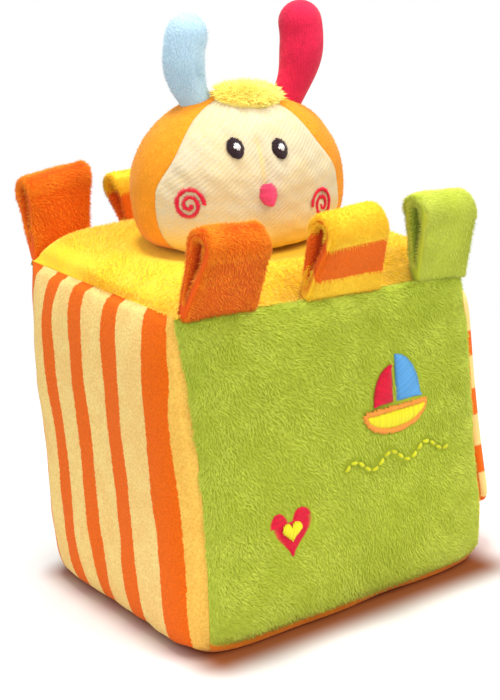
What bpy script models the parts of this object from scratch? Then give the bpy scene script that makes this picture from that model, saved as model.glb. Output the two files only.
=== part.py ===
"""A stuffed cloth play block with a bug's head, six ribbon loops and a padded side flap. Metres, +Z up."""
import math

import bmesh
import bpy
from mathutils import Matrix, Vector

# The block, a stuffed cloth cube that its own weight presses flat underneath
BLOCK_WIDTH = 0.115
BLOCK_DEPTH = 0.100
BLOCK_HEIGHT = 0.1086
BASE_FLAT = 0.0034
TOP_FULLNESS = 6.5
BASE_FULLNESS = 9.0
TOP_CORNER_SHARE = 1.1
BASE_CORNER_SHARE = 0.4
TOP_DROP_RIGHT = 0.0032
TOP_RISE_BACK = 0.0022
CROWN = 0.0041
CROWN_POWER = 10
CROWN_BACK_SHARE = 1.15
CROWN_RIGHT_SHARE = 0.9
PANEL_CLOTH = 0.0020
CLEARANCE = 0.00035
FILLING_SLACK = 0.0012
PANEL_LEVEL_SHARES = (0.36, 0.64, 0.84, 0.95, 1.0)
SIDE_LEVEL_SHARES = (0.98, 0.9, 0.65, 0.3)

# The rattle capsule between the two wads of filling
CAPSULE_RADIUS = 0.011
CAPSULE_WALL = 0.0015
BEAD_RADIUS = 0.0030
BEAD_COUNT = 3
BEAD_RING_SHARE = 1.32

# Ribbon loops sewn into the top seams
LOOP_HEIGHT = 0.0265
LOOP_THICKNESS = 0.0108
LOOP_PLY = 0.0018
LOOP_FOOT = 0.0016
LOOP_JOIN = 0.0060
LOOP_WIDTH = 0.0240
LOOP_INNER_FOOT = 0.0005
LOOP_TILT_ANGLE = math.radians(45)

# The head, its centre and its half sizes
HEAD_SHIFT = 0.0008
HEAD_LIFT = 0.0185
HEAD_WIDTH = 0.0684
HEAD_DEPTH = 0.0520
HEAD_UPPER = 0.0282
HEAD_LOWER = 0.0240
HEAD_UPPER_FULLNESS = 2.0
HEAD_LOWER_FULLNESS = 3.0
HEAD_TURN = math.radians(-12.4)
HEAD_CLEARANCE = 0.0022
HEAD_CLOTH = 0.0015
FACE_ANGLE = math.radians(58)
FACE_DIP_ANGLE = math.radians(7)
FACE_TOP_ANGLE = math.radians(17)
FACE_TOP_POWER = 8
FACE_BASE_ANGLE = math.radians(8)
FACE_SEAM_TURN = math.radians(-5)
FACE_LEVEL_SHARES = (0.3, 0.55, 0.75, 0.9)
NECK_RADIUS = 0.0080

# The face's sewn features and the tuft of hair
FEATURE_PROUD = 0.0008
FEATURE_TILT = math.radians(-7)
EYE_SHIFT = -0.0012
EYE_SPREAD = 0.0069
EYE_LEVEL = 0.0122
EYE_WIDTH = 0.0050
EYE_HEIGHT = 0.0064
GLINT_WIDTH = 0.0018
GLINT_PROUD = 0.0004
NOSE_LEVEL = -0.0012
NOSE_WIDTH = 0.0052
NOSE_HEIGHT = 0.0064
NOSE_PROUD = 0.0026
CHEEK_SHIFT = -0.0021
CHEEK_SPREAD_SHARE = 0.62
CHEEK_LEVEL = -0.0048
CHEEK_WIDTH = 0.0080
CHEEK_HEIGHT = 0.0104
CHEEK_THREAD = 0.0005
CHEEK_TURNS = 1.6
HAIR_SHIFT = 0.0032
HAIR_FORWARD = 0.0085
HAIR_WIDTH = 0.0180
HAIR_LENGTH = 0.0130
HAIR_PROUD = 0.0028
HAIR_EDGE = 0.0009

# The antennae
ANTENNA_SHIFT = 0.0034
ANTENNA_SPREAD = 0.0150
ANTENNA_FORWARD = 0.0007
LEFT_ANTENNA_BOW = 0.0046
RIGHT_ANTENNA_BOW = 0.0046
LEFT_ANTENNA_SPLAY = 0.0011
RIGHT_ANTENNA_SPLAY = 0.0066
ANTENNA_SINK = 0.0002
LEFT_ANTENNA_LENGTH = 0.0260
RIGHT_ANTENNA_LENGTH = 0.0297
ANTENNA_FOOT = 0.0048
ANTENNA_SOCKET = 0.0060
LEFT_ANTENNA_RADIUS = 0.0060
RIGHT_ANTENNA_RADIUS = 0.0067
ANTENNA_CLOTH = 0.0013

# The padded flap on the right side
FLAP_TOP = 0.0908
FLAP_BOTTOM = 0.0155
FLAP_WIDTH = 0.0820
FLAP_THICKNESS = 0.0075
FLAP_CLOTH = 0.0012
FLAP_SQUARENESS = 16.0
FLAP_GAP = 0.0005
FLAP_HANG = 0.0042
FLAP_HANG_POWER = 2.4

# The sewn pictures on the front panel
PATCH_PROUD = 0.0010
PATCH_BORDER = 0.0016
BOAT_ACROSS = 0.0190
BOAT_LEVEL = 0.0630
HULL_WIDTH = 0.0250
HULL_DEPTH = 0.0085
SAIL_HEIGHT = 0.0150
SAIL_WIDTH = 0.0095
SAIL_GAP = 0.0012
HEART_ACROSS = -0.0230
HEART_LEVEL = 0.0340
HEART_WIDTH = 0.0170
HEART_CENTRE_WIDTH = 0.0070
WAVE_THREAD = 0.0006
WAVE_HEIGHT = 0.0022
WAVE_COUNT = 3
WAVE_DROP = 0.0075
WAVE_LENGTH = 0.0420

BLOCK_HALF = (BLOCK_HEIGHT + BASE_FLAT) / 2
MIDDLE_LEVEL = BLOCK_HALF - BASE_FLAT
SEAM_SLOPE = math.atan2(2 * TOP_DROP_RIGHT, BLOCK_WIDTH)
FILLING_INSET = PANEL_CLOTH + FILLING_SLACK
FLAP_EDGE = 2 * FLAP_CLOTH + CLEARANCE
FLAP_HALF_TALL = (FLAP_TOP - FLAP_BOTTOM) / 2
FLAP_MIDDLE = (FLAP_TOP + FLAP_BOTTOM) / 2
CHEEK_SPREAD = CHEEK_SPREAD_SHARE * HEAD_WIDTH / 2
SIDE_POINTS = 7
ROUND_POINTS = 4 * SIDE_POINTS

COLOURS = {
    "green_plush": (0.51, 0.61, 0.06),
    "orange_plush": (0.86, 0.17, 0.01),
    "yellow_plush": (0.98, 0.75, 0.05),
    "striped_velour": (0.83, 0.30, 0.08),
    "orange_velour": (0.91, 0.29, 0.02),
    "cream_velour": (0.89, 0.76, 0.44),
    "blue_plush": (0.48, 0.68, 0.79),
    "pink_knit": (0.75, 0.03, 0.09),
    "filling": (0.90, 0.90, 0.87),
    "striped_ribbon": (0.90, 0.42, 0.05),
    "dark_thread": (0.03, 0.01, 0.01),
    "white_thread": (0.85, 0.85, 0.85),
    "pink_thread": (0.78, 0.06, 0.14),
    "crimson_thread": (0.66, 0.01, 0.03),
    "yellow_thread": (0.82, 0.70, 0.03),
    "orange_thread": (0.85, 0.29, 0.03),
    "blue_thread": (0.10, 0.35, 0.64),
    "capsule_plastic": (0.80, 0.82, 0.85),
    "bead_plastic": (0.75, 0.10, 0.08),
}
ROUGHNESS = {"capsule_plastic": 0.35, "bead_plastic": 0.3}
FABRIC_ROUGHNESS = 0.9


def material(name):
    found = bpy.data.materials.get(name)
    if found:
        return found
    made = bpy.data.materials.new(name)
    made.use_nodes = True
    shader = made.node_tree.nodes["Principled BSDF"]
    shader.inputs["Base Color"].default_value = (*COLOURS[name], 1)
    shader.inputs["Roughness"].default_value = ROUGHNESS.get(name, FABRIC_ROUGHNESS)
    return made


def mesh_object(name, build, slot):
    """Turn a filled bmesh into a named object with outward faces and smooth shading."""
    bmesh.ops.recalc_face_normals(build, faces=build.faces)
    mesh = bpy.data.meshes.new(name)
    build.to_mesh(mesh)
    build.free()
    mesh.shade_smooth()
    mesh.set_sharp_from_angle(angle=math.radians(40))
    mesh.materials.append(material(slot))
    made = bpy.data.objects.new(name, mesh)
    bpy.context.scene.collection.objects.link(made)
    return made


def loft(name, rings, slot, closed=False):
    """Join rings of points into one solid. A ring of one point is a pole. Closed joins the ends."""
    build = bmesh.new()
    rows = [[build.verts.new(point) for point in ring] for ring in rings]
    pairs = list(zip(rows, rows[1:])) + ([(rows[-1], rows[0])] if closed else [])
    for first, second in pairs:
        for here in range(max(len(first), len(second))):
            after = here + 1
            corners = [first[here % len(first)], first[after % len(first)]]
            corners += [second[after % len(second)], second[here % len(second)]]
            build.faces.new(list(dict.fromkeys(corners)))
    if not closed:
        for end in (rows[0], rows[-1]):
            if len(end) > 1:
                build.faces.new(end)
    return mesh_object(name, build, slot)


def cut(target, cutter):
    """Cut one solid out of another and keep the cutter as a guide."""
    cutter.hide_render = True
    cutter.display_type = "WIRE"
    step = target.modifiers.new("cut_" + cutter.name, "BOOLEAN")
    step.operation = "DIFFERENCE"
    step.solver = "EXACT"
    step.object = cutter


def ball_rings(centre, radius, sides, bands):
    rings = [[centre + Vector((0, 0, radius))]]
    for band in range(1, bands):
        angle = math.pi * band / bands
        wide = radius * math.sin(angle)
        level = radius * math.cos(angle)
        turns = [math.tau * side / sides for side in range(sides)]
        rings.append([centre + Vector((wide * math.cos(turn), wide * math.sin(turn), level)) for turn in turns])
    rings.append([centre - Vector((0, 0, radius))])
    return rings


def smooth(share):
    share = min(max(share, 0), 1)
    return share * share * (3 - 2 * share)


def block_point(spot, inset=0.0):
    """Carry a point of the cube from -1 to 1 onto the stuffed block, an inset below its surface."""
    x, y, z = spot
    rise = (z + 1) / 2
    power = BASE_FULLNESS + (TOP_FULLNESS - BASE_FULLNESS) * rise
    corner = BASE_CORNER_SHARE + (TOP_CORNER_SHARE - BASE_CORNER_SHARE) * rise
    a, b, c = abs(x) ** power, abs(y) ** power, abs(z) ** power
    reach = (a + b + c - corner * a * b * c) ** (1 / power)
    half = BLOCK_HALF - inset
    level = z * half / reach + rise * (TOP_RISE_BACK * y - TOP_DROP_RIGHT * x)
    lean = 1 + CROWN_BACK_SHARE * y + CROWN_RIGHT_SHARE * x
    level += CROWN * lean * rise * (1 - abs(x) ** CROWN_POWER) * (1 - abs(y) ** CROWN_POWER)
    level = max(level, BASE_FLAT - half) + half - BASE_FLAT + inset
    return Vector((x * (BLOCK_WIDTH / 2 - inset) / reach, y * (BLOCK_DEPTH / 2 - inset) / reach, level))


def top_face(u, v):
    return (u, v, 1)


def front_face(u, v):
    return (u, -1, v)


def right_face(u, v):
    return (1, u, v)


def panel_spot(face, axes, across, up, lift):
    """Find the point of a panel with the given two world coordinates, at a lift above its surface."""
    halves = (BLOCK_WIDTH / 2, BLOCK_DEPTH / 2, BLOCK_HALF)
    u = v = 0.0
    for _ in range(14):
        point = block_point(face(u, v), -lift)
        u += (across - point[axes[0]]) / halves[axes[0]]
        v += (up - point[axes[1]]) / halves[axes[1]]
    return block_point(face(u, v), -lift)


def on_top(across, back, lift=0.0):
    return panel_spot(top_face, (0, 1), across, back, lift)


def on_front(across, level, lift=0.0):
    return panel_spot(front_face, (0, 2), across, level, lift)


def on_right(back, level, lift=0.0):
    return panel_spot(right_face, (1, 2), back, level, lift)


def square_ring(level, points=SIDE_POINTS):
    """Points round a square of half side level, closer together at its corners."""
    ring = []
    for side in range(4):
        for step in range(points):
            along = math.sin(math.pi / 2 * (2 * step / points - 1))
            corner = ((along, -1), (1, along), (-along, 1), (-1, -along))[side]
            ring.append((corner[0] * level, corner[1] * level))
    return ring


def panel(name, face, slot, halves):
    """One cloth panel of the block, mitred along its seams."""
    across = 1 - CLEARANCE / halves[0]
    along = 1 - CLEARANCE / halves[1]
    sheets = []
    for inset in (0.0, PANEL_CLOTH):
        sheet = [[block_point(face(0, 0), inset)]]
        for level in PANEL_LEVEL_SHARES:
            sheet.append([block_point(face(u * across, v * along), inset) for u, v in square_ring(level)])
        sheets.append(sheet)
    return loft(name, sheets[0] + sheets[1][::-1], slot)


def add_panels():
    wide, deep, tall = BLOCK_WIDTH / 2, BLOCK_DEPTH / 2, BLOCK_HALF
    panel("panel_front", front_face, "green_plush", (wide, tall))
    panel("panel_back", lambda u, v: (-u, 1, v), "green_plush", (wide, tall))
    panel("panel_left", lambda u, v: (-1, -u, v), "striped_velour", (deep, tall))
    panel("panel_right", right_face, "orange_velour", (deep, tall))
    panel("panel_top", top_face, "yellow_plush", (wide, deep))
    panel("panel_bottom", lambda u, v: (u, -v, -1), "orange_velour", (wide, deep))


def filling_half(name, side):
    """Half of the block's filling, with a round hollow for the rattle capsule in its flat face."""
    outline = square_ring(1.0)
    rings = [[block_point((0, 0, side), FILLING_INSET)]]
    for level in PANEL_LEVEL_SHARES:
        rings.append([block_point((u, v, side), FILLING_INSET) for u, v in square_ring(level)])
    for share in SIDE_LEVEL_SHARES:
        rings.append([block_point((u, v, side * share), FILLING_INSET) for u, v in outline])
    flat = MIDDLE_LEVEL + side * CLEARANCE / 2
    rings.append([block_point((u, v, 0), FILLING_INSET).xy.to_3d() + Vector((0, 0, flat)) for u, v in outline])
    hollow = CAPSULE_RADIUS + CLEARANCE
    for band in range(5):
        angle = math.pi / 2 * band / 5
        ring = []
        for u, v in outline:
            turn = math.atan2(v * BLOCK_DEPTH, u * BLOCK_WIDTH)
            wide = hollow * math.cos(angle)
            level = flat + side * hollow * math.sin(angle)
            ring.append(Vector((wide * math.cos(turn), wide * math.sin(turn), level)))
        rings.append(ring)
    rings.append([Vector((0, 0, flat + side * hollow))])
    return loft(name, rings, "filling")


def capsule_half(name, side):
    """Half of the rattle capsule: a round plastic bowl."""
    centre = Vector((0, 0, MIDDLE_LEVEL + side * CLEARANCE / 2))
    sides, bands = 16, 5
    sheets = []
    for radius in (CAPSULE_RADIUS, CAPSULE_RADIUS - CAPSULE_WALL):
        sheet = [[centre + Vector((0, 0, side * radius))]]
        for band in range(1, bands + 1):
            angle = math.pi / 2 * band / bands
            wide = radius * math.sin(angle)
            level = side * radius * math.cos(angle)
            ring = []
            for step in range(sides):
                turn = math.tau * step / sides
                ring.append(centre + Vector((wide * math.cos(turn), wide * math.sin(turn), level)))
            sheet.append(ring)
        sheets.append(sheet)
    return loft(name, sheets[0] + sheets[1][::-1], "capsule_plastic")


def bead_centre(number):
    """Where one of the beads lies in the capsule's lower half."""
    seat = CAPSULE_RADIUS - CAPSULE_WALL - BEAD_RADIUS - CLEARANCE
    ring = BEAD_RADIUS * BEAD_RING_SHARE
    sink = math.sqrt(seat * seat - ring * ring)
    turn = math.tau * (number - 1) / BEAD_COUNT
    return Vector((ring * math.cos(turn), ring * math.sin(turn), MIDDLE_LEVEL - CLEARANCE / 2 - sink))


def add_rattle():
    filling_half("filling_lower", -1)
    filling_half("filling_upper", 1)
    capsule_half("rattle_shell_lower", -1)
    capsule_half("rattle_shell_upper", 1)
    for number in range(1, BEAD_COUNT + 1):
        loft("rattle_bead_%d" % number, ball_rings(bead_centre(number), BEAD_RADIUS, 8, 6), "bead_plastic")


def drop_outline(low_radius, top_radius, low, top):
    """The outline of a teardrop: a small arc at height low, a large arc that peaks at top, straight sides."""
    middle = top - top_radius
    flare = math.asin((top_radius - low_radius) / (middle - low))
    points = []
    for step in range(10):
        angle = -flare + (math.pi + 2 * flare) * step / 9
        points.append((top_radius * math.cos(angle), middle + top_radius * math.sin(angle)))
    for step in range(6):
        angle = math.pi + flare + (math.pi - 2 * flare) * step / 5
        points.append((low_radius * math.cos(angle), low + low_radius * math.sin(angle)))
    return points


def loop_pivot(side, share):
    """The hinge point of a ribbon loop, just off the rounded top seam."""
    seam = block_point((share, side, 1))
    outward = Vector((0, side * math.sin(LOOP_TILT_ANGLE), math.cos(LOOP_TILT_ANGLE)))
    return seam + outward * (LOOP_FOOT + CLEARANCE)


def ribbon_loop(name, side, share, angles, shares, slot):
    """A folded ribbon whose tunnel runs along the seam, standing on its rounded foot.

    The angles are its lean out from upright, its tilt along the seam and the slope of its top.
    The shares are of the usual width at its base and at its top, and of the usual height."""
    lean, tilt, slope = (math.radians(degrees) for degrees in angles)
    base_width, top_width, tall = shares[0] * LOOP_WIDTH, shares[1] * LOOP_WIDTH, shares[2] * LOOP_HEIGHT
    place = Matrix.Translation(loop_pivot(side, share)) @ Matrix.Rotation(-side * lean, 4, "X")
    outer = drop_outline(LOOP_FOOT, LOOP_THICKNESS / 2, 0.0, tall)
    inner = drop_outline(LOOP_INNER_FOOT, LOOP_THICKNESS / 2 - LOOP_PLY, LOOP_JOIN, tall - LOOP_PLY)

    def ring(outline, end):
        points = []
        for across, height in outline:
            rise = height / tall
            along = end * (base_width + (top_width - base_width) * rise) / 2
            point = place @ Vector((along + tilt * height, across, height))
            point.z -= along * (SEAM_SLOPE * (1 - rise) + math.sin(slope) * rise)
            points.append(point)
        return points

    ends = (-1, 0, 1)
    rings = [ring(outer, end) for end in ends] + [ring(inner, end) for end in reversed(ends)]
    return loft(name, rings, slot, closed=True)


LOOPS = (
    ("loop_front_left", -1, -0.744, (24.5, 0.0, 4.5), (1.01, 0.80, 1.005), "orange_plush"),
    ("loop_front_middle", -1, 0.092, (20.5, -3.0, -2.0), (1.12, 0.81, 0.99), "striped_ribbon"),
    ("loop_front_right", -1, 0.825, (16.0, -9.0, 3.6), (0.80, 0.815, 1.035), "green_plush"),
    ("loop_back_left", 1, -0.795, (9.5, 5.5, -5.0), (0.815, 0.965, 1.03), "orange_plush"),
    ("loop_back_middle", 1, -0.03, (14.0, -6.0, 0.0), (1.0, 1.125, 0.95), "striped_ribbon"),
    ("loop_back_right", 1, 0.70, (17.0, 2.0, 0.0), (1.0, 1.04, 0.98), "green_plush"),
)


def add_loops():
    for name, side, share, angles, shares, slot in LOOPS:
        ribbon_loop(name, side, share, angles, shares, slot)


HEAD_TURNED = Matrix.Rotation(HEAD_TURN, 3, "Z")


def head_centre():
    return on_top(HEAD_SHIFT, 0.0) + Vector((0, 0, HEAD_LIFT))


def neck_centre():
    return on_top(0.0, 0.0) + Vector((0, 0, NECK_RADIUS + CLEARANCE))


def to_world(local, floor_lift):
    """Carry a head point into the world, held above the block's top as the head rests on it."""
    point = HEAD_TOP + HEAD_TURNED @ local
    if point.z < FLOOR_CHECK_LEVEL:
        point.z = max(point.z, on_top(point.x, point.y).z + HEAD_CLEARANCE + floor_lift)
    return point


def head_point(way, inset=0.0):
    """The head's surface in a direction of the head's own frame, whose -Y is the face."""
    power, tall = (HEAD_UPPER_FULLNESS, HEAD_UPPER) if way.z >= 0 else (HEAD_LOWER_FULLNESS, HEAD_LOWER)
    wide, deep, tall = HEAD_WIDTH / 2 - inset, HEAD_DEPTH / 2 - inset, tall - inset
    flat = math.hypot(way.x / wide, way.y / deep) ** power
    reach = (flat + abs(way.z / tall) ** power) ** (-1 / power)
    return to_world(way * reach, inset)


def round_way(angle, turn):
    """A direction at an angle from the face's middle, turned round it from the wearer's left side."""
    way = Vector((HEAD_WIDTH / 2 * math.sin(angle) * math.cos(turn), -HEAD_DEPTH / 2 * math.cos(angle),
                  HEAD_UPPER * math.sin(angle) * math.sin(turn)))
    return way.normalized()


def seam_way(angle, turn):
    return Matrix.Rotation(FACE_SEAM_TURN, 3, "Z") @ round_way(angle, turn)


def seam_angle(turn):
    """How far the face panel reaches from the face's middle."""
    up, down = max(math.sin(turn), 0), max(-math.sin(turn), 0)
    dip = (4 * up * (1 - up)) ** 2
    return FACE_ANGLE - FACE_DIP_ANGLE * dip + FACE_TOP_ANGLE * up ** FACE_TOP_POWER + FACE_BASE_ANGLE * down


def face_point(across, level, lift=0.0):
    """The point of the face straight in front of a spot of the head's own X and Z."""
    power, tall = (HEAD_UPPER_FULLNESS, HEAD_UPPER) if level >= 0 else (HEAD_LOWER_FULLNESS, HEAD_LOWER)
    wide, deep, tall = HEAD_WIDTH / 2 + lift, HEAD_DEPTH / 2 + lift, tall + lift
    flat = (1 - abs(level / tall) ** power) ** (2 / power) - (across / wide) ** 2
    return to_world(Vector((across, -deep * math.sqrt(max(flat, 0)), level)), 0.0)


def add_face_panel():
    seam_share = 1 - CLEARANCE / HEAD_DEPTH
    sheets = []
    for inset in (0.0, HEAD_CLOTH):
        sheet = [[head_point(seam_way(0, 0), inset)]]
        for level in (*FACE_LEVEL_SHARES, seam_share):
            ring = []
            for step in range(ROUND_POINTS):
                turn = math.tau * step / ROUND_POINTS
                ring.append(head_point(seam_way(seam_angle(turn) * level, turn), inset))
            sheet.append(ring)
        sheets.append(sheet)
    loft("head_face", sheets[0] + sheets[1][::-1], "cream_velour")


def head_side(name, side):
    """One orange side of the head, from the face seam to the seam down the back of the head."""
    shift = HEAD_TURNED @ Vector((side * CLEARANCE / 2, 0, 0))
    columns, rows = 11, ROUND_POINTS // 2 + 1
    build = bmesh.new()
    layers = []
    for inset in (0.0, HEAD_CLOTH):
        layer = []
        for row in range(rows):
            turn = math.pi / 2 - side * math.pi * row / (rows - 1)
            start = seam_angle(turn) * (1 + CLEARANCE / HEAD_DEPTH)
            line = []
            for column in range(columns):
                angle = start + (math.pi - start) * math.sin(math.pi / 2 * column / (columns - 1))
                line.append(build.verts.new(head_point(seam_way(angle, turn), inset) + shift))
            layer.append(line)
        layers.append(layer)
    for layer in layers:
        for row in range(rows - 1):
            for column in range(columns - 1):
                build.faces.new((layer[row][column], layer[row][column + 1],
                                 layer[row + 1][column + 1], layer[row + 1][column]))
    outer, inner = layers
    for row in (0, rows - 1):
        for column in range(columns - 1):
            after = column + 1
            build.faces.new((outer[row][column], outer[row][after], inner[row][after], inner[row][column]))
    for row in range(rows - 1):
        build.faces.new((outer[row][0], outer[row + 1][0], inner[row + 1][0], inner[row][0]))
    weld = CLEARANCE / 100
    bmesh.ops.remove_doubles(build, verts=build.verts, dist=weld)
    bmesh.ops.dissolve_degenerate(build, edges=build.edges, dist=weld)
    return mesh_object(name, build, "orange_velour")


def add_head_filling():
    inset = HEAD_CLOTH + FILLING_SLACK
    rings = [[head_point(round_way(0, 0), inset)]]
    bands, sides = 9, 20
    for band in range(1, bands):
        angle = math.pi * band / bands
        rings.append([head_point(round_way(angle, math.tau * step / sides), inset) for step in range(sides)])
    rings.append([head_point(round_way(math.pi, 0), inset)])
    return loft("head_filling", rings, "filling")


def add_head():
    add_face_panel()
    sides = [head_side("head_side_left", -1), head_side("head_side_right", 1)]
    filling = add_head_filling()
    neck = neck_centre()
    loft("neck", ball_rings(neck, NECK_RADIUS, 16, 8), "orange_velour")
    socket = loft("neck_socket", ball_rings(neck, NECK_RADIUS + CLEARANCE, 16, 8), "filling")
    for piece in (*sides, filling):
        cut(piece, socket)
    for number, side in enumerate((-1, 1)):
        seat = loft("antenna_socket_%d" % (number + 1),
                    ball_rings(antenna_pivot(side), ANTENNA_SOCKET, 12, 8), "filling")
        cut(sides[number], seat)
        cut(filling, seat)


def antenna_pivot(side):
    across, forward = ANTENNA_SHIFT + side * ANTENNA_SPREAD, -ANTENNA_FORWARD
    wide = (across / (HEAD_WIDTH / 2)) ** 2 + (forward / (HEAD_DEPTH / 2)) ** 2
    level = HEAD_UPPER * math.sqrt(1 - wide)
    return HEAD_TOP + HEAD_TURNED @ Vector((across, forward, level - ANTENNA_SINK))


def antenna_rings(side, length, bow, splay, thick, inset):
    """Rings from an antenna's tip down to its ball-shaped foot, an inset inside its cover."""
    pivot = antenna_pivot(side)
    up = HEAD_TURNED @ Vector((0, 0, 1))
    out = HEAD_TURNED @ Vector((side, 0, 0))
    front = HEAD_TURNED @ Vector((0, 1, 0))
    run = length + ANTENNA_SINK - thick

    def spine(share):
        return pivot + up * run * share + out * (splay * share + bow * share * (1 - share) * 2)

    def circle(centre, way, radius, sides=10):
        cross = way.cross(front).normalized()
        turns = [math.tau * step / sides for step in range(sides)]
        return [centre + (cross * math.cos(turn) + front * math.sin(turn)) * radius for turn in turns]

    tip_way = (spine(1.0) - spine(0.9)).normalized()
    radius = thick - inset
    rings = [[spine(1.0) + tip_way * radius]]
    for angle in (math.radians(30), math.radians(62)):
        rings.append(circle(spine(1.0) + tip_way * radius * math.cos(angle), tip_way, radius * math.sin(angle)))
    for share in (1.0, 0.82, 0.64, 0.46, 0.3, 0.15):
        way = (spine(share + 0.05) - spine(share - 0.05)).normalized()
        swell = (thick - ANTENNA_FOOT) * smooth(share / 0.7)
        rings.append(circle(spine(share), way, ANTENNA_FOOT + swell - inset))
    foot_way = (spine(0.05) - pivot).normalized()
    ball = ANTENNA_SOCKET - CLEARANCE - inset
    for angle in (math.radians(75), math.radians(52), math.radians(28)):
        rings.append(circle(pivot - foot_way * ball * math.cos(angle), foot_way, ball * math.sin(angle)))
    return rings


def add_antenna(name, side, length, bow, splay, thick, slot):
    outer = antenna_rings(side, length, bow, splay, thick, 0.0)
    inner = antenna_rings(side, length, bow, splay, thick, ANTENNA_CLOTH)
    core = antenna_rings(side, length, bow, splay, thick, ANTENNA_CLOTH + CLEARANCE)
    loft(name + "_cover", outer + inner[::-1], slot)
    loft(name + "_filling", core, "filling")


def patch(name, spots, place, low, high, slot, edge=None):
    """A sewn piece that follows a surface: spots round its outline, raised from lift low to lift high."""
    edge = high if edge is None else edge
    middle = Vector((sum(spot[0] for spot in spots), sum(spot[1] for spot in spots))) / len(spots)
    sheets = []
    for top in (True, False):
        sheet = [[place(middle.x, middle.y, high if top else low)]]
        for share in (0.55, 1.0):
            lift = low if not top else high + (edge - high) * (share ** 3)
            sheet.append([place(middle.x + (x - middle.x) * share, middle.y + (y - middle.y) * share, lift)
                          for x, y in spots])
        sheets.append(sheet)
    return loft(name, sheets[0] + sheets[1][::-1], slot)


def oval(across, level, width, height, points=14):
    return [(across + width / 2 * math.cos(math.tau * step / points),
             level + height / 2 * math.sin(math.tau * step / points)) for step in range(points)]


def thread(name, spots, place, radius, slot, sides=5):
    """A raised line of stitching that follows a surface."""
    centres = [place(x, y, CLEARANCE + radius) for x, y in spots]
    rings = []
    for here, centre in enumerate(centres):
        way = (centres[min(here + 1, len(centres) - 1)] - centres[max(here - 1, 0)]).normalized()
        outward = (place(*spots[here], CLEARANCE + 2 * radius) - centre).normalized()
        cross = way.cross(outward).normalized()
        outward = cross.cross(way)
        turns = [math.tau * step / sides for step in range(sides)]
        rings.append([centre + (cross * math.cos(turn) + outward * math.sin(turn)) * radius for turn in turns])
    return loft(name, rings, slot)


def hair_point(across, forward, lift):
    """The head's surface under a spot of its own X and Y, seen from above."""
    wide, deep, tall = HEAD_WIDTH / 2 + lift, HEAD_DEPTH / 2 + lift, HEAD_UPPER + lift
    level = tall * math.sqrt(1 - (across / wide) ** 2 - (forward / deep) ** 2)
    return HEAD_TOP + HEAD_TURNED @ Vector((across, forward, level))


def add_features():
    top = CLEARANCE + FEATURE_PROUD
    for side, word in ((-1, "left"), (1, "right")):
        across = EYE_SHIFT + side * EYE_SPREAD
        level = EYE_LEVEL + side * EYE_SPREAD * math.tan(FEATURE_TILT)
        eye = oval(across, level, EYE_WIDTH, EYE_HEIGHT)
        patch("eye_" + word, eye, face_point, CLEARANCE, top, "dark_thread")
        glint = oval(across, level, GLINT_WIDTH, GLINT_WIDTH, 8)
        seat = top + CLEARANCE
        patch("eye_glint_" + word, glint, face_point, seat, seat + GLINT_PROUD, "white_thread")
        across = CHEEK_SHIFT + side * CHEEK_SPREAD
        level = CHEEK_LEVEL + side * CHEEK_SPREAD * math.tan(FEATURE_TILT)
        turns = 22
        spots = []
        for step in range(turns):
            share = (step + 2) / (turns + 1)
            angle = math.pi / 2 + side * math.tau * CHEEK_TURNS * (1 - share)
            spots.append((across + CHEEK_WIDTH / 2 * share * math.cos(angle),
                          level + CHEEK_HEIGHT / 2 * share * math.sin(angle)))
        thread("cheek_spiral_" + word, spots, face_point, CHEEK_THREAD, "crimson_thread")
    nose = oval(0.0, NOSE_LEVEL, NOSE_WIDTH, NOSE_HEIGHT)
    patch("nose", nose, face_point, CLEARANCE, NOSE_PROUD, "pink_thread", edge=top)
    hair = oval(HAIR_SHIFT, -HAIR_FORWARD, HAIR_WIDTH, HAIR_LENGTH, 16)
    patch("hair_tuft", hair, hair_point, CLEARANCE, HAIR_PROUD, "yellow_plush", edge=HAIR_EDGE + CLEARANCE)


def flap_outline(level):
    """Spots round the flap, a rectangle with rounded corners, at a share of its half size."""
    spots = []
    for u, v in square_ring(1.0):
        turn = math.atan2(v, u)
        across, up = math.cos(turn), math.sin(turn)
        reach = level * (abs(across) ** FLAP_SQUARENESS + abs(up) ** FLAP_SQUARENESS) ** (-1 / FLAP_SQUARENESS)
        spots.append((FLAP_WIDTH / 2 * reach * across, FLAP_MIDDLE + FLAP_HALF_TALL * reach * up))
    return spots


def flap_lift(level):
    """How far the flap's front stands off, at a share of the way from its middle to its edge."""
    return FLAP_EDGE + (FLAP_THICKNESS - FLAP_EDGE) * (1 - level ** 4)


def flap_spot(back, level, lift):
    """A point of the flap, which hangs from its top edge and stands off more towards its lower edge."""
    fallen = max(FLAP_TOP - level, 0.0) / (FLAP_TOP - FLAP_BOTTOM)
    return on_right(back, level, FLAP_GAP + FLAP_HANG * fallen ** FLAP_HANG_POWER + lift)


def add_flap():
    levels = (0.4, 0.7, 0.88, 1.0)

    def sheet(lift, shares):
        rings = [[flap_spot(0.0, FLAP_MIDDLE, lift(0))]]
        for share in shares:
            rings.append([flap_spot(back, level, lift(share)) for back, level in flap_outline(share)])
        return rings

    def solid(name, high, low, shares, slot):
        loft(name, sheet(high, shares) + sheet(low, shares)[::-1], slot)

    pad = FLAP_CLOTH + CLEARANCE
    front_inside = lambda share: flap_lift(share) - FLAP_CLOTH
    wad_outside = lambda share: flap_lift(share) - pad
    solid("flap_front_cloth", flap_lift, front_inside, levels, "striped_velour")
    solid("flap_back_cloth", lambda share: FLAP_CLOTH, lambda share: 0.0, levels, "orange_velour")
    solid("flap_wadding", wad_outside, lambda share: pad, levels[:3], "filling")


def heart_outline(across, level, width):
    points = []
    for step in range(20):
        angle = math.tau * step / 20
        x = math.sin(angle) ** 3
        y = 13 * math.cos(angle) - 5 * math.cos(2 * angle) - 2 * math.cos(3 * angle) - math.cos(4 * angle)
        y = y / 16
        points.append((across + width / 2 * x, level + width / 2 * y))
    return points


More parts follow.
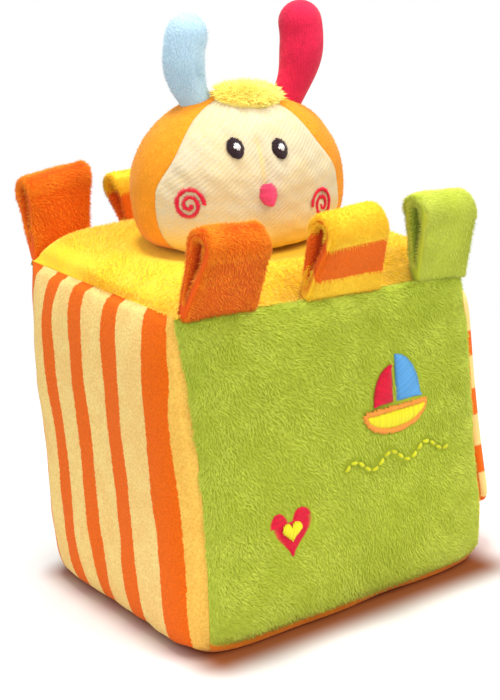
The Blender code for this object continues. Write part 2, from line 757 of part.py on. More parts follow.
def hull_outline(border):
    """A boat's hull: a level top edge and a round keel."""
    half = HULL_WIDTH / 2 - border
    depth = HULL_DEPTH - 2 * border
    points = []
    for step in range(13):
        angle = math.pi + math.pi * step / 12
        points.append((BOAT_ACROSS + half * math.cos(angle), BOAT_LEVEL - border + depth * math.sin(angle)))
    for share in (0.5, 0.0, -0.5):
        points.append((BOAT_ACROSS + half * share, BOAT_LEVEL - border))
    return points


def sail_outline(side, scale):
    """A sail with its upright edge beside the boat's middle and a full outer edge."""
    width, height = SAIL_WIDTH * scale, SAIL_HEIGHT * scale
    near = BOAT_ACROSS + side * SAIL_GAP / 2
    foot = BOAT_LEVEL + SAIL_GAP
    points = [(near, foot), (near, foot + height / 3), (near, foot + height * 2 / 3)]
    for step in range(9):
        angle = math.pi / 2 * (1 - step / 8)
        points.append((near + side * width * math.cos(angle), foot + height * math.sin(angle)))
    points.append((near + side * width / 2, foot))
    return points


def add_pictures():
    first = CLEARANCE + PATCH_PROUD
    second = (first + CLEARANCE, first + CLEARANCE + PATCH_PROUD)
    patch("boat_hull", hull_outline(0.0), on_front, CLEARANCE, first, "orange_thread")
    patch("boat_hull_middle", hull_outline(PATCH_BORDER), on_front, *second, "yellow_thread")
    patch("boat_sail_blue", sail_outline(1, 1.0), on_front, CLEARANCE, first, "blue_thread")
    patch("boat_sail_crimson", sail_outline(-1, 0.8), on_front, CLEARANCE, first, "crimson_thread")
    heart = heart_outline(HEART_ACROSS, HEART_LEVEL, HEART_WIDTH)
    patch("heart", heart, on_front, CLEARANCE, first, "crimson_thread")
    heart = heart_outline(HEART_ACROSS, HEART_LEVEL, HEART_CENTRE_WIDTH)
    patch("heart_middle", heart, on_front, *second, "yellow_thread")
    steps = 12 * WAVE_COUNT
    calm = BOAT_LEVEL - HULL_DEPTH - WAVE_DROP
    spots = []
    for step in range(steps + 1):
        share = step / steps
        level = calm + WAVE_HEIGHT * math.sin(math.tau * WAVE_COUNT * share)
        spots.append((BOAT_ACROSS + WAVE_LENGTH * (share - 0.5), level))
    thread("wave_stitching", spots, on_front, WAVE_THREAD, "yellow_thread", sides=4)


def hang(name, place, prefixes, parent=None):
    """Put an empty on a joint's axis and let it carry the pieces that turn about it."""
    pivot = bpy.data.objects.new(name, None)
    bpy.context.scene.collection.objects.link(pivot)
    pivot.location = place
    if parent:
        pivot.parent = parent
        pivot.matrix_parent_inverse = Matrix.Translation(-parent.location)
    for piece in list(bpy.data.objects):
        if piece.type == "MESH" and piece.name.startswith(prefixes):
            piece.parent = pivot
            piece.matrix_parent_inverse = Matrix.Translation(-pivot.location)
    return pivot


def add_pivots():
    neck_pivot = hang("pivot_neck", neck_centre(), ("neck",))
    head_pieces = ("head_", "eye_", "nose", "cheek_", "hair_", "antenna_socket")
    head_pivot = hang("pivot_head", neck_centre(), head_pieces, neck_pivot)
    for side, word in ((-1, "left"), (1, "right")):
        pieces = ("antenna_%s_" % word,)
        hang("pivot_antenna_" + word, antenna_pivot(side), pieces, head_pivot)
    for name, side, share, *_ in LOOPS:
        hang("pivot_" + name, loop_pivot(side, share), (name,))
    hang("pivot_flap", on_right(0.0, FLAP_TOP, FLAP_GAP + FLAP_EDGE / 2), ("flap_",))
    for number in range(1, BEAD_COUNT + 1):
        hang("pivot_bead_%d" % number, bead_centre(number), ("rattle_bead_%d" % number,))


for leftover in list(bpy.data.objects):
    bpy.data.objects.remove(leftover, do_unlink=True)

HEAD_TOP = head_centre()
FLOOR_CHECK_LEVEL = HEAD_TOP.z
LEFT_ANTENNA = (LEFT_ANTENNA_LENGTH, LEFT_ANTENNA_BOW, LEFT_ANTENNA_SPLAY, LEFT_ANTENNA_RADIUS)
RIGHT_ANTENNA = (RIGHT_ANTENNA_LENGTH, RIGHT_ANTENNA_BOW, RIGHT_ANTENNA_SPLAY, RIGHT_ANTENNA_RADIUS)
add_panels()
add_rattle()
add_loops()
add_head()
add_antenna("antenna_left", -1, *LEFT_ANTENNA, "blue_plush")
add_antenna("antenna_right", 1, *RIGHT_ANTENNA, "pink_knit")
add_features()
add_flap()
add_pictures()
add_pivots()
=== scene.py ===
"""Looks of a stuffed cloth play block: plush panels, a small head, ribbon loops and a padded side flap."""
import math
from functools import partial

import bmesh
import bpy
import numpy as np
from bpy.props import FloatProperty, FloatVectorProperty, IntProperty, PointerProperty
from mathutils import Matrix, Vector


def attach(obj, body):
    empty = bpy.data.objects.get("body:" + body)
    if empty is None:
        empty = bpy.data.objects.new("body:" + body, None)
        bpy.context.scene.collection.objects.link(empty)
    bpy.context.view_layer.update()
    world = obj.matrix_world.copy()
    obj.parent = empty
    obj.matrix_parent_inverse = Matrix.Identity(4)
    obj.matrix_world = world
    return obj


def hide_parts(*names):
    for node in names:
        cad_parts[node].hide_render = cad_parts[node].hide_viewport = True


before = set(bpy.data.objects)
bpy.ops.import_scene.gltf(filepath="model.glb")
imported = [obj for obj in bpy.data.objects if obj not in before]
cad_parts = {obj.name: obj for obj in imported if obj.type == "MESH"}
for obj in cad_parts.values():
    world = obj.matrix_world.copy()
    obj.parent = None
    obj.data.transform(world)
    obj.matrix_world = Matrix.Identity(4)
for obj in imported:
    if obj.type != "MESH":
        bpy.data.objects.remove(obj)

bl_info = {
    "name": "Stuffed play block",
    "version": (1, 0, 0),
    "blender": (4, 5, 0),
    "location": "View3D > Sidebar > Play block",
    "description": "Builds the cloth, pile, stitching and studio of a stuffed play block",
    "category": "Object",
}

# The block, in metres, as the frame's solids have it
HALF = np.array((0.0575, 0.0500, 0.0560))
BASE_FLAT = 0.0034
BASE_ROLL, SIDE_ROLL, SIDE_ROLL_LEVEL = 0.085, 0.082, -0.12
CROWN, CROWN_LEAN, TOP_SLOPE = 0.0041, (0.9, 1.15), (-0.0032, 0.0022)
EDGE_POWER, EDGE_SOFTER = 9.0, 2.5
CORNER_FILL, CORNER_MORE = 0.4, 0.7
SEAM_SLOPE = math.atan2(0.0064, 0.115)
CLOTH, LIFT, SWELL, PUCKER = 0.0016, 0.0006, 0.0005, 0.00035
SEAM_RISE, PUCKER_REACH = 0.005, 0.006
FLOOR_GAP = 0.0003
FACES = {
    "front": ((1, -1), (0, 1), (2, 1)),
    "back": ((1, 1), (0, -1), (2, 1)),
    "left": ((0, -1), (1, -1), (2, 1)),
    "right": ((0, 1), (1, 1), (2, 1)),
    "top": ((2, 1), (0, 1), (1, 1)),
    "bottom": ((2, -1), (0, 1), (1, -1)),
}

# The head, in its own frame, whose -Y is the face
HEAD_HALF = np.array((0.0342, 0.0260, 0.0282))
HEAD_LOWER = 0.0240
HEAD_SPOT, HEAD_RISE = (0.0008, 0.0), 0.0185
HEAD_CLEAR, LINING_CLEAR, LINING_LIFT = 0.0012, 0.0024, -0.0012
TURNED = np.array(Matrix.Rotation(math.radians(-12.4), 3, "Z"))
FACE_TURNED = np.array(Matrix.Rotation(math.radians(-5), 3, "Z"))
FACE_ANGLE, FACE_DIP, FACE_TOP, FACE_BASE = (math.radians(degrees) for degrees in (58, 7, 17, 8))

# Eyes: across, level and tilt. Nose and cheek spirals: across and level. The dart's place across the face
EYES = ((-0.0081, 0.0134, 0.05), (0.0057, 0.0117, 0.26))
EYE_SIZE, GLINT_ASIDE, GLINT_SIZE = (0.0052, 0.0060), (0.0003, 0.0004), (0.0018, 0.0024)
NOSE, NOSE_SIZE, NOSE_TILT = (-0.0002, -0.0011), (0.0058, 0.0070), 0.15
CHEEKS = ((-0.0233, -0.0022), (0.0191, -0.0073))
CHEEK_HALF, CHEEK_TURNS, CHEEK_SHRINK, CHEEK_WIDE = (0.0040, 0.0052), 2.05, 0.88, 0.0011
DART = -0.0008

# The hair's middle, half width and half depth on the crown
HAIR_SPOT, HAIR_HALF = (0.0026, -0.0085), (0.0105, 0.0068)
HAIR_PARTING, HAIR_THICK, HAIR_DROP, HAIR_SUNK = (0.0026, -0.0060), 0.0023, 0.0010, 0.0004

# Each antenna: side, then its length, bow, splay and tip radius
ANTENNAE = {
    "left": (-1, (0.0260, 0.0046, 0.0011, 0.0060)),
    "right": (1, (0.0297, 0.0046, 0.0066, 0.0067)),
}
ANTENNA_SPOT, ANTENNA_SPACE, ANTENNA_FOOT = (0.0034, -0.0007), 0.0150, 0.0048

# Tufts of pile: how far each stands out, how far it lies along the cloth, and its width
HAIR_TUFT = (0.0019, 0.0034, 0.0008)
SIDE_TUFT = (0.0004, 0.0014, 0.0005)
ANTENNA_TUFT = (0.0007, 0.0014, 0.00055)
LOOP_TUFT = (0.0006, 0.0014, 0.00045)

# Printed bands, as shares of the panel or heights in metres
STRIPE_EDGES = (-0.885, -0.632, -0.343, -0.172, 0.067, 0.232, 0.445, 0.605, 0.835, 1.2)
FLAP_EDGES = (0.0, 0.0183, 0.0275, 0.0373, 0.0483, 0.0573, 0.0684, 0.0768)
LOOP_EDGES = (0.0062, 0.0180)

# Each loop: side, share of the seam, then its lean, tilt and slope, and its base, top and height shares
LOOPS = {
    "loop_front_left": (-1, -0.744, (24.5, 0.0, 4.5), (1.01, 0.80, 1.005)),
    "loop_front_middle": (-1, 0.092, (20.5, -3.0, -2.0), (1.12, 0.81, 0.99)),
    "loop_front_right": (-1, 0.825, (16.0, -9.0, 3.6), (0.80, 0.815, 1.035)),
    "loop_back_left": (1, -0.795, (9.5, 5.5, -5.0), (0.815, 0.965, 1.03)),
    "loop_back_middle": (1, -0.03, (14.0, -6.0, 0.0), (1.0, 1.125, 0.95)),
    "loop_back_right": (1, 0.70, (17.0, 2.0, 0.0), (1.0, 1.04, 0.98)),
}
LOOP_TALL, LOOP_WIDE, LOOP_THICK, LOOP_PLY = 0.0265, 0.0240, 0.0108, 0.0018
LOOP_FOOT, LOOP_SINK, LOOP_GAP_BASE, LOOP_GAP_FOOT = 0.0016, 0.00035, 0.0060, 0.0004

# The flap's levels and half width, and the middles of the sewn pictures on the front
FLAP_TOP, FLAP_BOTTOM, FLAP_HALF = 0.0908, 0.0155, 0.0410
FLAP_FOOT, FLAP_EDGE_THICK, FLAP_PADDING, FLAP_HANG = 0.0005, 0.00275, 0.00475, 0.0042
BOAT, BOAT_LEVEL, HEART, HEART_LEVEL = 0.019, 0.063, -0.023, 0.034
HULL_HALF, HULL_DEEP, SAIL_WIDE, SAIL_TALL = 0.0125, 0.0085, 0.0095, 0.0150
HEART_WIDE, HEART_MIDDLE_WIDE, SATIN_PITCH, WIDE_PITCH = 0.017, 0.007, 0.00040, 0.00042
WAVE_LONG, WAVE_HIGH, WAVE_DROP, WAVE_COUNT = 0.042, 0.0022, 0.016, 3

# Plastic of the hidden rattle
CAPSULE, BEAD = (0.80, 0.82, 0.85), (0.75, 0.10, 0.08)

# Where the camera and the lamps point, where the lamps stand, and how far the floor's painted contact shadow
# and its fade reach
CAMERA_AIM, LAMP_AIM = Vector((0.0004, 0, 0.0753)), Vector((0, 0, 0.08))
KEY_SPOT, FILL_SPOT, TOP_SPOT = (0.35, -0.55, 0.75), (-0.8, -0.5, 0.45), (-0.03, 0.03, 1.20)
SHADOW_SHIFT, SHADOW_REACH, FADE_START, FADE_END = (0.0, 0.004, 0), 0.0160, 0.10, 0.34


# Shapes


def waves(points, size, seed, count=7):
    """Smooth noise from -1 to 1 made of a few sine waves of about the given length."""
    random = np.random.default_rng(seed)
    total = np.zeros(points.shape[:-1])
    for _ in range(count):
        way = random.normal(size=3)
        way *= math.tau / size * random.uniform(0.6, 1.5) / np.linalg.norm(way)
        total += np.sin(points @ way + random.uniform(0, math.tau))
    return total / count * 1.6


def step(values, low, high):
    """A smooth share from 0 at low to 1 at high."""
    share = np.clip((values - low) / (high - low), 0, 1)
    return share * share * (3 - 2 * share)


def unit(vectors):
    """Vectors brought to length 1."""
    return vectors / np.maximum(np.linalg.norm(vectors, axis=-1, keepdims=True), 1e-12)


def grid(down, along):
    """Two grids, one that changes from row to row and one from column to column."""
    return np.meshgrid(down, along, indexing="ij")


def turns(count):
    """Angles evenly spread round a circle."""
    return np.arange(count) * math.tau / count


def flat(*fields):
    """Grids of points as one list of points."""
    return np.concatenate([field.reshape(-1, 3) for field in fields])


def block(spots, lift=0.0):
    """Carries points of the cube from -1 to 1 onto the stuffed block, raised by lift."""
    x, y, z = spots[..., 0], spots[..., 1], spots[..., 2]
    rise = (z + 1) / 2
    power = EDGE_POWER - EDGE_SOFTER * rise
    corner = CORNER_FILL + CORNER_MORE * rise
    a, b, c = (np.abs(part) ** power for part in (x, y, z))
    reach = (a + b + c - corner * a * b * c) ** (1 / power)
    level = z * (HALF[2] + lift) / reach + rise * (TOP_SLOPE[1] * y + TOP_SLOPE[0] * x)
    lean = 1 + CROWN_LEAN[1] * y + CROWN_LEAN[0] * x
    level = level + CROWN * lean * rise * (1 - np.abs(x) ** 10) * (1 - np.abs(y) ** 10)
    level = np.maximum(level + HALF[2] - BASE_FLAT, FLOOR_GAP)
    return np.stack([x * (HALF[0] + lift) / reach, y * (HALF[1] + lift) / reach, level], -1)


def cube(face, u, v):
    """The cube's point at u, v of a face. Beyond 1 the point goes round the edge by the same length."""
    (n, n_sign), (a, a_sign), (b, b_sign) = FACES[face]
    over = np.maximum(np.abs(u) - 1, 0) * HALF[a] + np.maximum(np.abs(v) - 1, 0) * HALF[b]
    spots = np.empty(np.broadcast(u, v).shape + (3,))
    spots[..., n] = n_sign * (1 - over / HALF[n])
    spots[..., a] = a_sign * np.clip(u, -1, 1)
    spots[..., b] = b_sign * np.clip(v, -1, 1)
    return spots


def on_face(face, across, up, lift=0.0):
    """The points over a panel with these two world coordinates, at a lift above its surface."""
    _, (a, a_sign), (b, b_sign) = FACES[face]
    u, v = across * a_sign / HALF[a], (up * b_sign) / HALF[b]
    for _ in range(14):
        point = block(cube(face, np.clip(u, -1, 1), np.clip(v, -1, 1)), lift)
        u = u + (across - point[..., a]) * a_sign / HALF[a]
        v = v + (up - point[..., b]) * b_sign / HALF[b]
    return block(cube(face, np.clip(u, -1, 1), np.clip(v, -1, 1)), lift)


on_front, on_right, on_top = (partial(on_face, face) for face in ("front", "right", "top"))
HEAD_CENTRE = on_top(*(np.array(part) for part in HEAD_SPOT)) + np.array((0, 0, HEAD_RISE))


def head_local(points):
    """World points in the head's own frame."""
    return (points - HEAD_CENTRE) @ TURNED


def head_world(local):
    """Points of the head's own frame in the world."""
    return HEAD_CENTRE + local @ TURNED.T


def from_head(points):
    """How far points of the block's top are from the head's middle, as shares of its half sizes."""
    return np.linalg.norm(head_local(points)[..., :2] / HEAD_HALF[:2], axis=-1)


def head_outline(upper, lift):
    """The power and height of the head's outline above and below its widest level."""
    return np.where(upper, 2.0, 3.0), np.where(upper, HEAD_HALF[2], HEAD_LOWER) + lift


def head(way, lift=0.0, floor=HEAD_CLEAR):
    """The head's surface in directions of its own frame, flattened where it rests on the block's top."""
    power, tall = head_outline(way[..., 2] >= 0, lift)
    girth = np.hypot(way[..., 0] / (HEAD_HALF[0] + lift), way[..., 1] / (HEAD_HALF[1] + lift)) ** power
    reach = (girth + np.abs(way[..., 2] / tall) ** power) ** (-1 / power)
    points = head_world(way * reach[..., None])
    below = points[..., 2] < HEAD_CENTRE[2]
    rest = on_top(points[..., 0], points[..., 1])[..., 2] + floor
    soft = 0.0015
    gap = (points[..., 2] - rest) / soft
    points[..., 2] = np.where(below, rest + soft * np.logaddexp(0, gap), points[..., 2])
    return points


def head_way(angle, turn):
    """Directions at an angle from the face's middle, turned round it."""
    way = np.stack([HEAD_HALF[0] * np.sin(angle) * np.cos(turn), -HEAD_HALF[1] * np.cos(angle),
                    HEAD_HALF[2] * np.sin(angle) * np.sin(turn)], -1)
    return unit(way) @ FACE_TURNED.T


def face_seam(turn):
    """The angle at which the face's seam lies, all round it."""
    up, down = np.maximum(np.sin(turn), 0), np.maximum(-np.sin(turn), 0)
    return FACE_ANGLE - FACE_DIP * (4 * up * (1 - up)) ** 2 + FACE_TOP * up ** 8 + FACE_BASE * down


def on_head(across, level, lift):
    """The points of the face straight in front of spots of the head's own X and Z."""
    power, tall = head_outline(level >= 0, lift)
    depth = (1 - np.abs(level / tall) ** power) ** (2 / power) - (across / (HEAD_HALF[0] + lift)) ** 2
    forward = -(HEAD_HALF[1] + lift) * np.sqrt(np.maximum(depth, 0))
    return head_world(np.stack([across, forward, level + 0 * lift], -1))


def over_head(across, forward, lift):
    """The points of the crown straight above spots of the head's own X and Y."""
    wide, deep, tall = (size + lift for size in HEAD_HALF)
    level = tall * np.sqrt(np.maximum(1 - (across / wide) ** 2 - (forward / deep) ** 2, 0))
    return head_world(np.stack([across, forward, level], -1))


# Meshes


def quads(index, wrap=False):
    """Four-cornered faces between the neighbours of a grid of point numbers."""
    here, after = (index, np.roll(index, -1, 1)) if wrap else (index[:, :-1], index[:, 1:])
    return np.stack([here[:-1], after[:-1], after[1:], here[1:]], -1).reshape(-1, 4)


def shell_faces(rows, columns, wrap):
    """Faces of a sheet with thickness: an outer grid, an inner grid and the rims between them."""
    outer = np.arange(rows * columns).reshape(rows, columns)
    inner = outer + rows * columns
    faces = [quads(outer, wrap), quads(inner, wrap)[:, ::-1]]
    for edge in (0, -1):
        faces.append(quads(np.stack([outer[edge], inner[edge]]), wrap))
        if not wrap:
            faces.append(quads(np.stack([outer[:, edge], inner[:, edge]])))
    return np.concatenate(faces)


def clean(mesh):
    """Joins doubled points, drops empty faces and turns every face outward."""
    build = bmesh.new()
    build.from_mesh(mesh)
    bmesh.ops.remove_doubles(build, verts=build.verts, dist=2e-6)
    bmesh.ops.dissolve_degenerate(build, edges=build.edges, dist=1e-6)
    bmesh.ops.recalc_face_normals(build, faces=build.faces)
    build.to_mesh(mesh)
    build.free()


def link(name, data):
    """A new object in the scene."""
    made = bpy.data.objects.new(name, data)
    bpy.context.scene.collection.objects.link(made)
    return made


def mesh_object(name, points, faces, finish, values=None, uv=None):
    """A mesh from points and faces of one size, with named values per point. With a uv it stays as given."""
    mesh = bpy.data.meshes.new(name)
    points = np.ascontiguousarray(points.reshape(-1, 3), np.float32)
    mesh.vertices.add(len(points))
    mesh.vertices.foreach_set("co", points.ravel())
    mesh.loops.add(faces.size)
    mesh.loops.foreach_set("vertex_index", np.ascontiguousarray(faces, np.int32).ravel())
    mesh.polygons.add(len(faces))
    mesh.polygons.foreach_set("loop_start", np.arange(len(faces), dtype=np.int32) * faces.shape[1])
    mesh.update(calc_edges=True)
    for key, numbers in (values or {}).items():
        kind, field = ("FLOAT_VECTOR", "vector") if numbers.ndim > 1 else ("FLOAT", "value")
        numbers = np.ascontiguousarray(numbers, np.float32).ravel()
        mesh.attributes.new(key, kind, "POINT").data.foreach_set(field, numbers)
    if uv is None:
        clean(mesh)
    else:
        layer = mesh.uv_layers.new(name="OFBake")
        layer.uv.foreach_set("vector", np.ascontiguousarray(uv, np.float32).ravel())
    mesh.shade_smooth()
    mesh.materials.append(finish)
    return link(name, mesh)


def shell(name, outer, inner, finish, wrap=False, values=None):
    """A sheet of cloth between its outer and inner grids of points."""
    return mesh_object(name, flat(outer, inner), shell_faces(*outer.shape[:2], wrap), finish, values)


def settle(made, body, nodes):
    """Puts a piece on its body and hides the solids that it stands for."""
    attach(made, body)
    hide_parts(*nodes)
    return made


def grid_normals(points, away, wrap=False):
    """Normals of a grid of points, on the side that away points to."""
    down = np.gradient(points, axis=0)
    along = np.roll(points, -1, 1) - np.roll(points, 1, 1) if wrap else np.gradient(points, axis=1)
    normals = unit(np.cross(along, down))
    return normals if (away * normals).sum() > 0 else -normals


def tufts(count):
    return count


def scatter(points, normals, cloth, count, seed, wrap=False):
    """About count evenly spread roots on a grid of points, with their normals and cloth coordinates."""
    random = np.random.default_rng(seed)
    rows, columns = points.shape[0] - 1, points.shape[1] - (0 if wrap else 1)
    tall = np.linalg.norm(np.diff(points, axis=0), axis=-1).sum(0).mean()
    wide = np.linalg.norm(np.diff(points, axis=1), axis=-1).sum(1).mean()
    across = max(int(round(math.sqrt(count * wide / tall))), 1)
    up = max(int(round(count / across)), 1)
    down, along = grid(np.arange(up), np.arange(across))
    down = (down.ravel() + random.uniform(0, 1, down.size)) / up * rows
    along = (along.ravel() + random.uniform(0, 1, along.size)) / across * columns
    row, column = np.minimum(down.astype(int), rows - 1), np.minimum(along.astype(int), columns - 1)
    down, along = (down - row)[:, None], (along - column)[:, None]
    beside = (column + 1) % points.shape[1]
    mixed = []
    for field in (points, normals, cloth):
        near = field[row, column] * (1 - along) + field[row, beside] * along
        far = field[row + 1, column] * (1 - along) + field[row + 1, beside] * along
        mixed.append(near * (1 - down) + far * down)
    return mixed[0], unit(mixed[1]), mixed[2]


def flow_down(roots, normals, turn, seed, big=0.6, small=0.6, way=(0.0, 0.0, -1.0)):
    """Directions in which the pile lies: along way on the cloth, turned by an angle and by smooth swirls."""
    down = unit(way - normals * (normals @ np.asarray(way))[:, None])
    side = np.cross(normals, down)
    angle = (turn + big * waves(roots, 0.045, seed) + small * waves(roots, 0.011, seed + 1))[:, None]
    return down * np.cos(angle) + side * np.sin(angle)


TUFT_FACES = np.array([[0, 1, 3], [1, 2, 3], [2, 0, 3], [2, 1, 0]])
TUFT_SPOTS = np.array([[0.1, 0.1], [0.1, 0.5], [0.1, 0.9], [0.9, 0.5]])
TUFT_SCALE, TUFT_STAND, TUFT_ROOT = (0.7, 1.25), (0.6, 1.15), 0.0004


def shorter(sizes, share):
    """A tuft's height, lay and width, with the first two cut to a share."""
    height, lay, width = sizes
    return height * share, lay * share, width


def pile(parent, finish, spots, flow, sizes, seed, spread=0.35):
    """Fibre tufts that stand on spots of a cloth, lean along flow and go with their parent piece."""
    (roots, normals, cloth), (height, lay, width) = spots, sizes
    count = len(roots)
    random = np.random.default_rng(seed)
    along = unit(flow - normals * (flow * normals).sum(-1, keepdims=True))
    side = np.cross(normals, along)
    bend = random.normal(0, spread, count)[:, None]
    lean = along * np.cos(bend) + side * np.sin(bend)
    size = random.uniform(*TUFT_SCALE, count)[:, None]
    stand = random.uniform(*TUFT_STAND, count)[:, None]
    tip = roots + normals * height * size * stand + lean * lay * size
    tip[:, 2] = np.maximum(tip[:, 2], FLOOR_GAP)
    turn = random.uniform(0, math.tau, count)[:, None]
    foot = roots - normals * TUFT_ROOT
    corners = [foot + (along * np.cos(turn + k) + side * np.sin(turn + k)) * width / 2
               for k in (0.0, math.tau / 3, 2 * math.tau / 3)]
    points = np.stack([*corners, tip], 1)
    points[..., 2] = np.maximum(points[..., 2], 0.0)
    faces = (np.arange(count)[:, None, None] * 4 + TUFT_FACES).reshape(-1, 3)
    cells = math.ceil(math.sqrt(count))
    low = np.stack([np.arange(count) % cells, np.arange(count) // cells], -1)[:, None] / cells
    uv = (low + TUFT_SPOTS / cells)[:, TUFT_FACES]
    strand = np.repeat(random.uniform(0, 1, count), 4)
    values = {"tip": np.tile([0.0, 0.0, 0.0, 1.0], count), "strand": strand,
              "cloth": np.repeat(cloth, 4, axis=0)}
    made = mesh_object(parent.name.replace("_cloth", "_pile"), points, faces, finish, values, uv)
    soft = np.repeat(unit(normals + 0.3 * lean + 0.2 * random.normal(size=(count, 3))), 4, axis=0)
    a, b, c = (points.reshape(-1, 3)[faces[:, k]] for k in range(3))
    soft = unit(soft + 0.8 * unit(np.cross(b - a, c - a)))
    made.data.normals_split_custom_set(np.repeat(soft, 3, axis=0).tolist())
    bpy.context.view_layer.update()
    made.parent = parent
    made.matrix_parent_inverse = parent.matrix_world.inverted()


def soft_copy(name, node, finish, body, puff, bumps):
    """A finer, slightly fuller and uneven copy of a solid."""
    build = bmesh.new()
    build.from_mesh(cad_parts[node].data)
    bmesh.ops.remove_doubles(build, verts=build.verts, dist=1e-6)
    bmesh.ops.subdivide_edges(build, edges=build.edges, cuts=2, use_grid_fill=True)
    build.normal_update()
    noise = 1 + waves(np.array([vert.co for vert in build.verts]), 0.006, len(node))
    for vert, more in zip(list(build.verts), puff + bumps * noise):
        vert.co += vert.normal * more
    mesh = bpy.data.meshes.new(name)
    build.to_mesh(mesh)
    build.free()
    mesh.shade_smooth()
    mesh.materials.append(finish)
    settle(link(name, mesh), body, [node])


# Stitching


def stitches(node, body, finish, slot, runs, place, radius, rise, arch):
    """Rows of thread that follow a surface, each from its start spot to its end spot."""
    sides, share = 6, np.linspace(0, 1, 7)
    spots = runs[:, :1] + (runs[:, 1:] - runs[:, :1]) * share[None, :, None]
    lift = rise + arch * np.sin(math.pi * share) * np.ones((len(runs), 1))
    centres = place(spots[..., 0], spots[..., 1], lift)
    outward = unit(place(spots[..., 0], spots[..., 1], lift + 1e-4) - centres)
    ways = unit(np.gradient(centres, axis=1))
    cross = unit(np.cross(ways, outward))
    outward = np.cross(cross, ways)
    thick = radius * (0.35 + 0.65 * np.sqrt(np.sin(math.pi * np.clip(share, 0.02, 0.98))))
    turn = turns(sides)[:, None]
    ring = cross[:, :, None] * np.cos(turn) + outward[:, :, None] * np.sin(turn)
    points = centres[:, :, None] + ring * thick[None, :, None, None]
    index = np.arange(points.size // 3).reshape(len(runs), len(share), sides)
    after = np.roll(index, -1, 2)
    faces = [np.stack([index[:, :-1], after[:, :-1], after[:, 1:], index[:, 1:]], -1).reshape(-1, 4)]
    for end in (0, -1):
        faces += [index[:, end, corners] for corners in ([0, 1, 2, 3], [0, 3, 4, 5])]
    strand = np.repeat(np.random.default_rng(len(runs)).uniform(0, 1, len(runs)), len(share) * sides)
    made = mesh_object(node + "_stitches", points, np.concatenate(faces), finish, {"strand": strand})
    settle(made, body, [node])


def satin(outline, angle, pitch):
    """Parallel runs of thread that fill an outline."""
    random = np.random.default_rng(1)
    c, s = math.cos(angle), math.sin(angle)
    turn = np.array([[c, -s], [s, c]])
    spots = outline @ turn
    following = np.roll(spots, -1, 0)
    runs = []
    for level in np.arange(spots[:, 1].min() + pitch / 2, spots[:, 1].max(), pitch):
        crossing = (spots[:, 1] > level) != (following[:, 1] > level)
        a, b = spots[crossing], following[crossing]
        at = np.sort(a[:, 0] + (level - a[:, 1]) / (b[:, 1] - a[:, 1]) * (b[:, 0] - a[:, 0]))
        for first, last in zip(at[::2], at[1::2]):
            if last - first > pitch:
                edge = random.uniform(-0.00012, 0.00012, 2)
                runs.append([[first + edge[0], level], [last + edge[1], level]])
    return np.asarray(runs) @ turn.T


def travel(path):
    """How far along a path each of its points lies."""
    return np.concatenate([[0], np.cumsum(np.linalg.norm(np.diff(path, axis=0), axis=-1))])


def at_travel(path, distance):
    """The spots of a path at these distances along it."""
    return np.stack([np.interp(distance, travel(path), path[:, k]) for k in (0, 1)], -1)


def along_path(path, across, pitch, seed=2):
    """Short runs of thread laid side by side across a path."""
    spots = at_travel(path, np.arange(0, travel(path)[-1], pitch))
    way = unit(np.gradient(spots, axis=0))
    side = np.stack([-way[:, 1], way[:, 0]], -1) + way * 0.35
    reach = across / 2 * np.random.default_rng(seed).uniform(0.65, 1.35, (len(spots), 1))
    return np.stack([spots - side * reach, spots + side * reach], 1)


def inside(spots, outline):
    """Which spots lie inside an outline."""
    x, y = spots[:, 0], spots[:, 1]
    result = np.zeros(len(spots), bool)
    for (x0, y0), (x1, y1) in zip(outline, np.roll(outline, -1, 0)):
        if y0 != y1:
            result ^= ((y0 > y) != (y1 > y)) & (x < x0 + (y - y0) / (y1 - y0) * (x1 - x0))
    return result


def oval(across, level, width, height, tilt):
    """The outline of an eye, a glint or the nose."""
    turn = turns(28)
    x, y = width / 2 * np.cos(turn), height / 2 * np.sin(turn)
    c, s = math.cos(tilt), math.sin(tilt)
    return np.stack([across + x * c - y * s, level + x * s + y * c], -1)


# Finishes


def add(tree, kind, settings=None, inputs=None):
    """A node with its settings, its inputs given as values or as sockets to link."""
    made = tree.nodes.new(kind)
    for key, value in (settings or {}).items():
        setattr(made, key, value)
    for key, value in (inputs or {}).items():
        if isinstance(value, bpy.types.NodeSocket):
            tree.links.new(value, made.inputs[key])
        else:
            made.inputs[key].default_value = value
    return made


def mix(tree, factor, first, second, blend="MIX"):
    """Mixes two colours."""
    settings = {"data_type": "RGBA", "blend_type": blend}
    return add(tree, "ShaderNodeMix", settings, {0: factor, 6: first, 7: second}).outputs[2]


def maths(tree, operation, first, second=0.0):
    """Arithmetic on two numbers."""
    return add(tree, "ShaderNodeMath", {"operation": operation}, {0: first, 1: second}).outputs[0]


def place_maths(tree, operation, first, second=(0, 0, 0)):
    """Arithmetic on a place, which gives a place, or a number for LENGTH."""
    made = add(tree, "ShaderNodeVectorMath", {"operation": operation}, {0: first, 1: second})
    return made.outputs[1 if operation == "LENGTH" else 0]


def times(tree, first, second):
    """Two numbers multiplied."""
    return maths(tree, "MULTIPLY", first, second)


def varied(tree, value, amount, base):
    """A base value moved both ways by noise."""
    return maths(tree, "ADD", times(tree, maths(tree, "SUBTRACT", value, 0.5), amount), base)


def ramp(tree, value, low, high, kind="SMOOTHSTEP"):
    """A share from 0 to 1 as a value goes from low to high."""
    inputs = {"Value": value, "From Min": low, "From Max": high}
    return add(tree, "ShaderNodeMapRange", {"interpolation_type": kind}, inputs).outputs[0]


def own_place(tree):
    """The place on a piece, in the piece's own frame."""
    return add(tree, "ShaderNodeTexCoord").outputs["Object"]


def noise(tree, scale, detail=2.0, distortion=0.0):
    """Soft noise over a piece, from 0 to 1."""
    inputs = {"Vector": own_place(tree), "Scale": scale, "Detail": detail, "Distortion": distortion}
    return add(tree, "ShaderNodeTexNoise", None, inputs).outputs[0]


